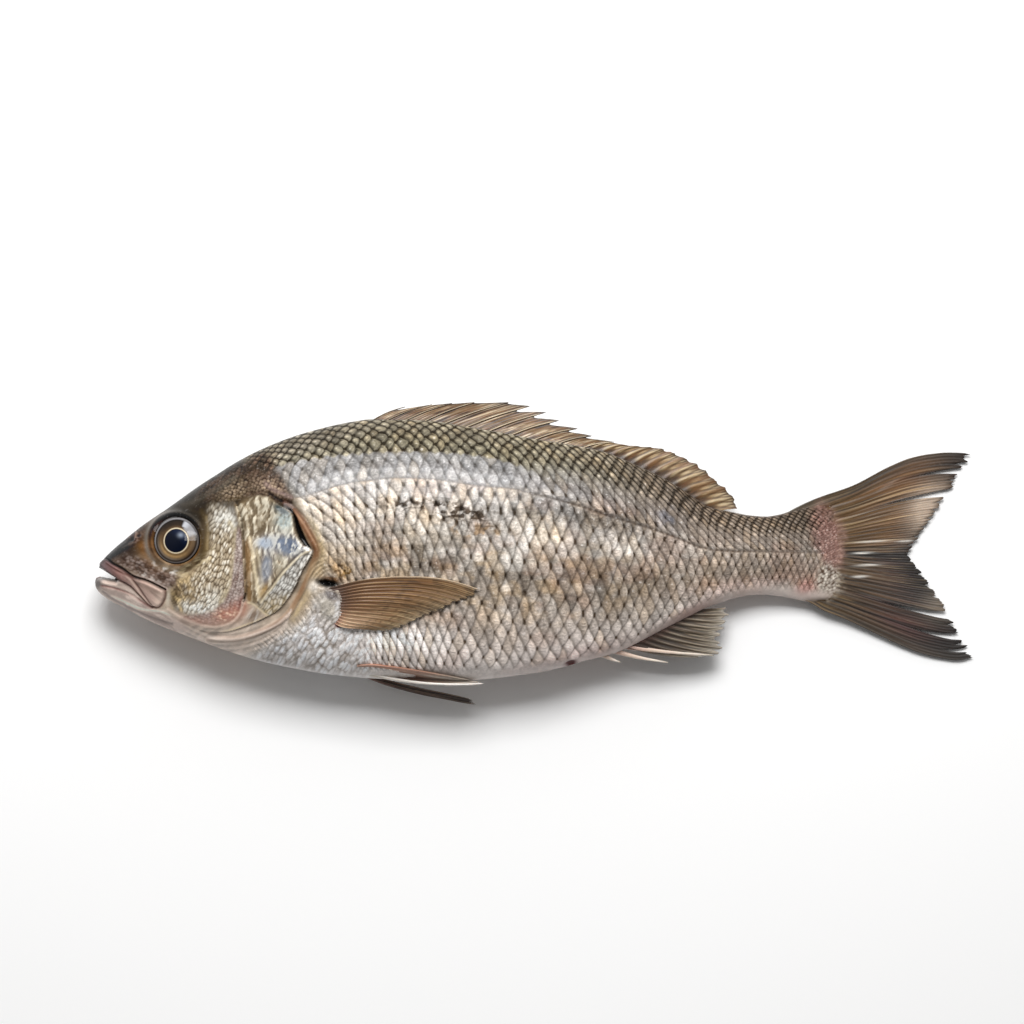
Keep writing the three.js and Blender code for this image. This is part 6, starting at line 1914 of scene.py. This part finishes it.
two_edge_fin("belly_fin_upper_side", BELLY_NEAR_TOP, BELLY_NEAR_LOW, near_z, 60, 70, belly_near_paint)
two_edge_fin("belly_fin_lower_side", BELLY_FAR_TOP, BELLY_FAR_LOW, lambda x, y, A, R: middle_z(x) - 8.0 - 1.5 * A - 2.0 * R, 60, 60, belly_far_paint)
spine_piece("belly_spine_upper_side", view_path([(350, 667.6), (366, 672.4), (383, 676.2), (400, 679.2), (416, 681.4), (433, 682.9), (449, 683.5), (466, 683.6), (483.5, 682.6)]), lambda x, y, t: middle_z(x) + 4.6 + 0.6 * t, 0.78, 0.30, [(0, 196, 184, 170), (0.3, 226, 218, 208), (0.8, 232, 226, 218), (1.0, 204, 196, 188)], flat=0.8, rows=60)
spine_piece("belly_spine_lower_side", view_path([(364, 678), (385, 685.6), (405, 691.0), (425, 695.4), (445, 699.2), (470.5, 702.6)]), lambda x, y, t: middle_z(x) - 8.6 - 3.0 * t, 0.42, 0.22, [(0, 150, 118, 104), (0.4, 86, 62, 54), (1.0, 60, 50, 46)], flat=0.8, rows=50)

# =====================================================================================
# Stage: pale floor, soft studio light, camera straight above
# =====================================================================================
floor_mesh = bpy.data.meshes.new("floor")
floor_mesh.from_pydata([(-6, -6, 0), (6, -6, 0), (6, 6, 0), (-6, 6, 0)], [], [(0, 1, 2, 3)])
floor = bpy.data.objects.new("floor", floor_mesh)
bpy.context.scene.collection.objects.link(floor)
fm = bpy.data.materials.new("pale_floor")
fm.use_nodes = True
fb = next(n for n in fm.node_tree.nodes if n.type == "BSDF_PRINCIPLED")
fb.inputs["Base Color"].default_value = (0.97, 0.97, 0.97, 1)
fb.inputs["Roughness"].default_value = 0.9
fb.inputs["Specular IOR Level"].default_value = 0.1
floor_mesh.materials.append(fm)

SKY_BACK, SKY_FRONT, SKY_ROOF, SKY_CARD = 0.06, 1.0, 0.42, 0.72
world = bpy.data.worlds.new("studio")
bpy.context.scene.world = world
world.use_nodes = True
bg = next(n for n in world.node_tree.nodes if n.type == "BACKGROUND")
wt = world.node_tree
geo = wt.nodes.new("ShaderNodeTexCoord")
sepw = wt.nodes.new("ShaderNodeSeparateXYZ")
wt.links.new(geo.outputs["Generated"], sepw.inputs[0])


def wmap(sock, a, b, c, d):
    n = wt.nodes.new("ShaderNodeMapRange")
    n.interpolation_type = "SMOOTHSTEP"
    wt.links.new(sock, n.inputs[0])
    for i, q in zip((1, 2, 3, 4), (a, b, c, d)):
        n.inputs[i].default_value = q
    return n.outputs[0]


def wmul(a, b):
    n = wt.nodes.new("ShaderNodeMath")
    n.operation = "MULTIPLY"
    wt.links.new(a, n.inputs[0])
    wt.links.new(b, n.inputs[1])
    return n.outputs[0]


side_light = wmap(sepw.outputs[1], -0.50, 0.85, SKY_BACK, SKY_FRONT)
roof = wmap(sepw.outputs[2], 0.72, 0.97, 1.0, SKY_ROOF)
card = wmul(wmap(sepw.outputs[1], -0.35, -0.80, 0.0, SKY_CARD), wmap(sepw.outputs[2], 0.16, 0.40, 1.0, 0.0))
both = wt.nodes.new("ShaderNodeMath")
wt.links.new(wmul(side_light, roof), both.inputs[0])
wt.links.new(card, both.inputs[1])
wt.links.new(both.outputs[0], bg.inputs["Strength"])
bg.inputs["Color"].default_value = (1.0, 0.995, 0.985, 1)


def area(name, at, aim, sx, sy, power, color=(1, 1, 1)):
    light = bpy.data.lights.new(name, "AREA")
    light.shape = "RECTANGLE"
    light.size, light.size_y = sx, sy
    light.energy = power
    light.color = color
    ob = bpy.data.objects.new(name, light)
    ob.location = at
    ob.rotation_euler = (Vector(aim) - Vector(at)).to_track_quat("-Z", "Y").to_euler()
    bpy.context.scene.collection.objects.link(ob)
    return ob


KEY_TILT = math.radians(36.0)
KEY_DIST = 0.95
key_aim = (-0.048, 0.025, 0.038)
key_at = (key_aim[0] + 0.01, key_aim[1] + KEY_DIST * math.sin(KEY_TILT), key_aim[2] + KEY_DIST * math.cos(KEY_TILT))
area("key", key_at, key_aim, 0.54, 0.38, 10.2)

cam_data = bpy.data.cameras.new("camera")
cam_data.lens = LENS
cam_data.sensor_width = SENSOR
cam_data.sensor_fit = "HORIZONTAL"
cam_data.clip_end = 50
cam = bpy.data.objects.new("camera", cam_data)
cam.location = ((CAM[0] + SHIFT[0]) * MM, (CAM[1] + SHIFT[1]) * MM, CAM[2] * MM)
cam.rotation_euler = (0, 0, 0)
bpy.context.scene.collection.objects.link(cam)
bpy.context.scene.camera = cam
bpy.context.scene.view_settings.view_transform = "Standard"
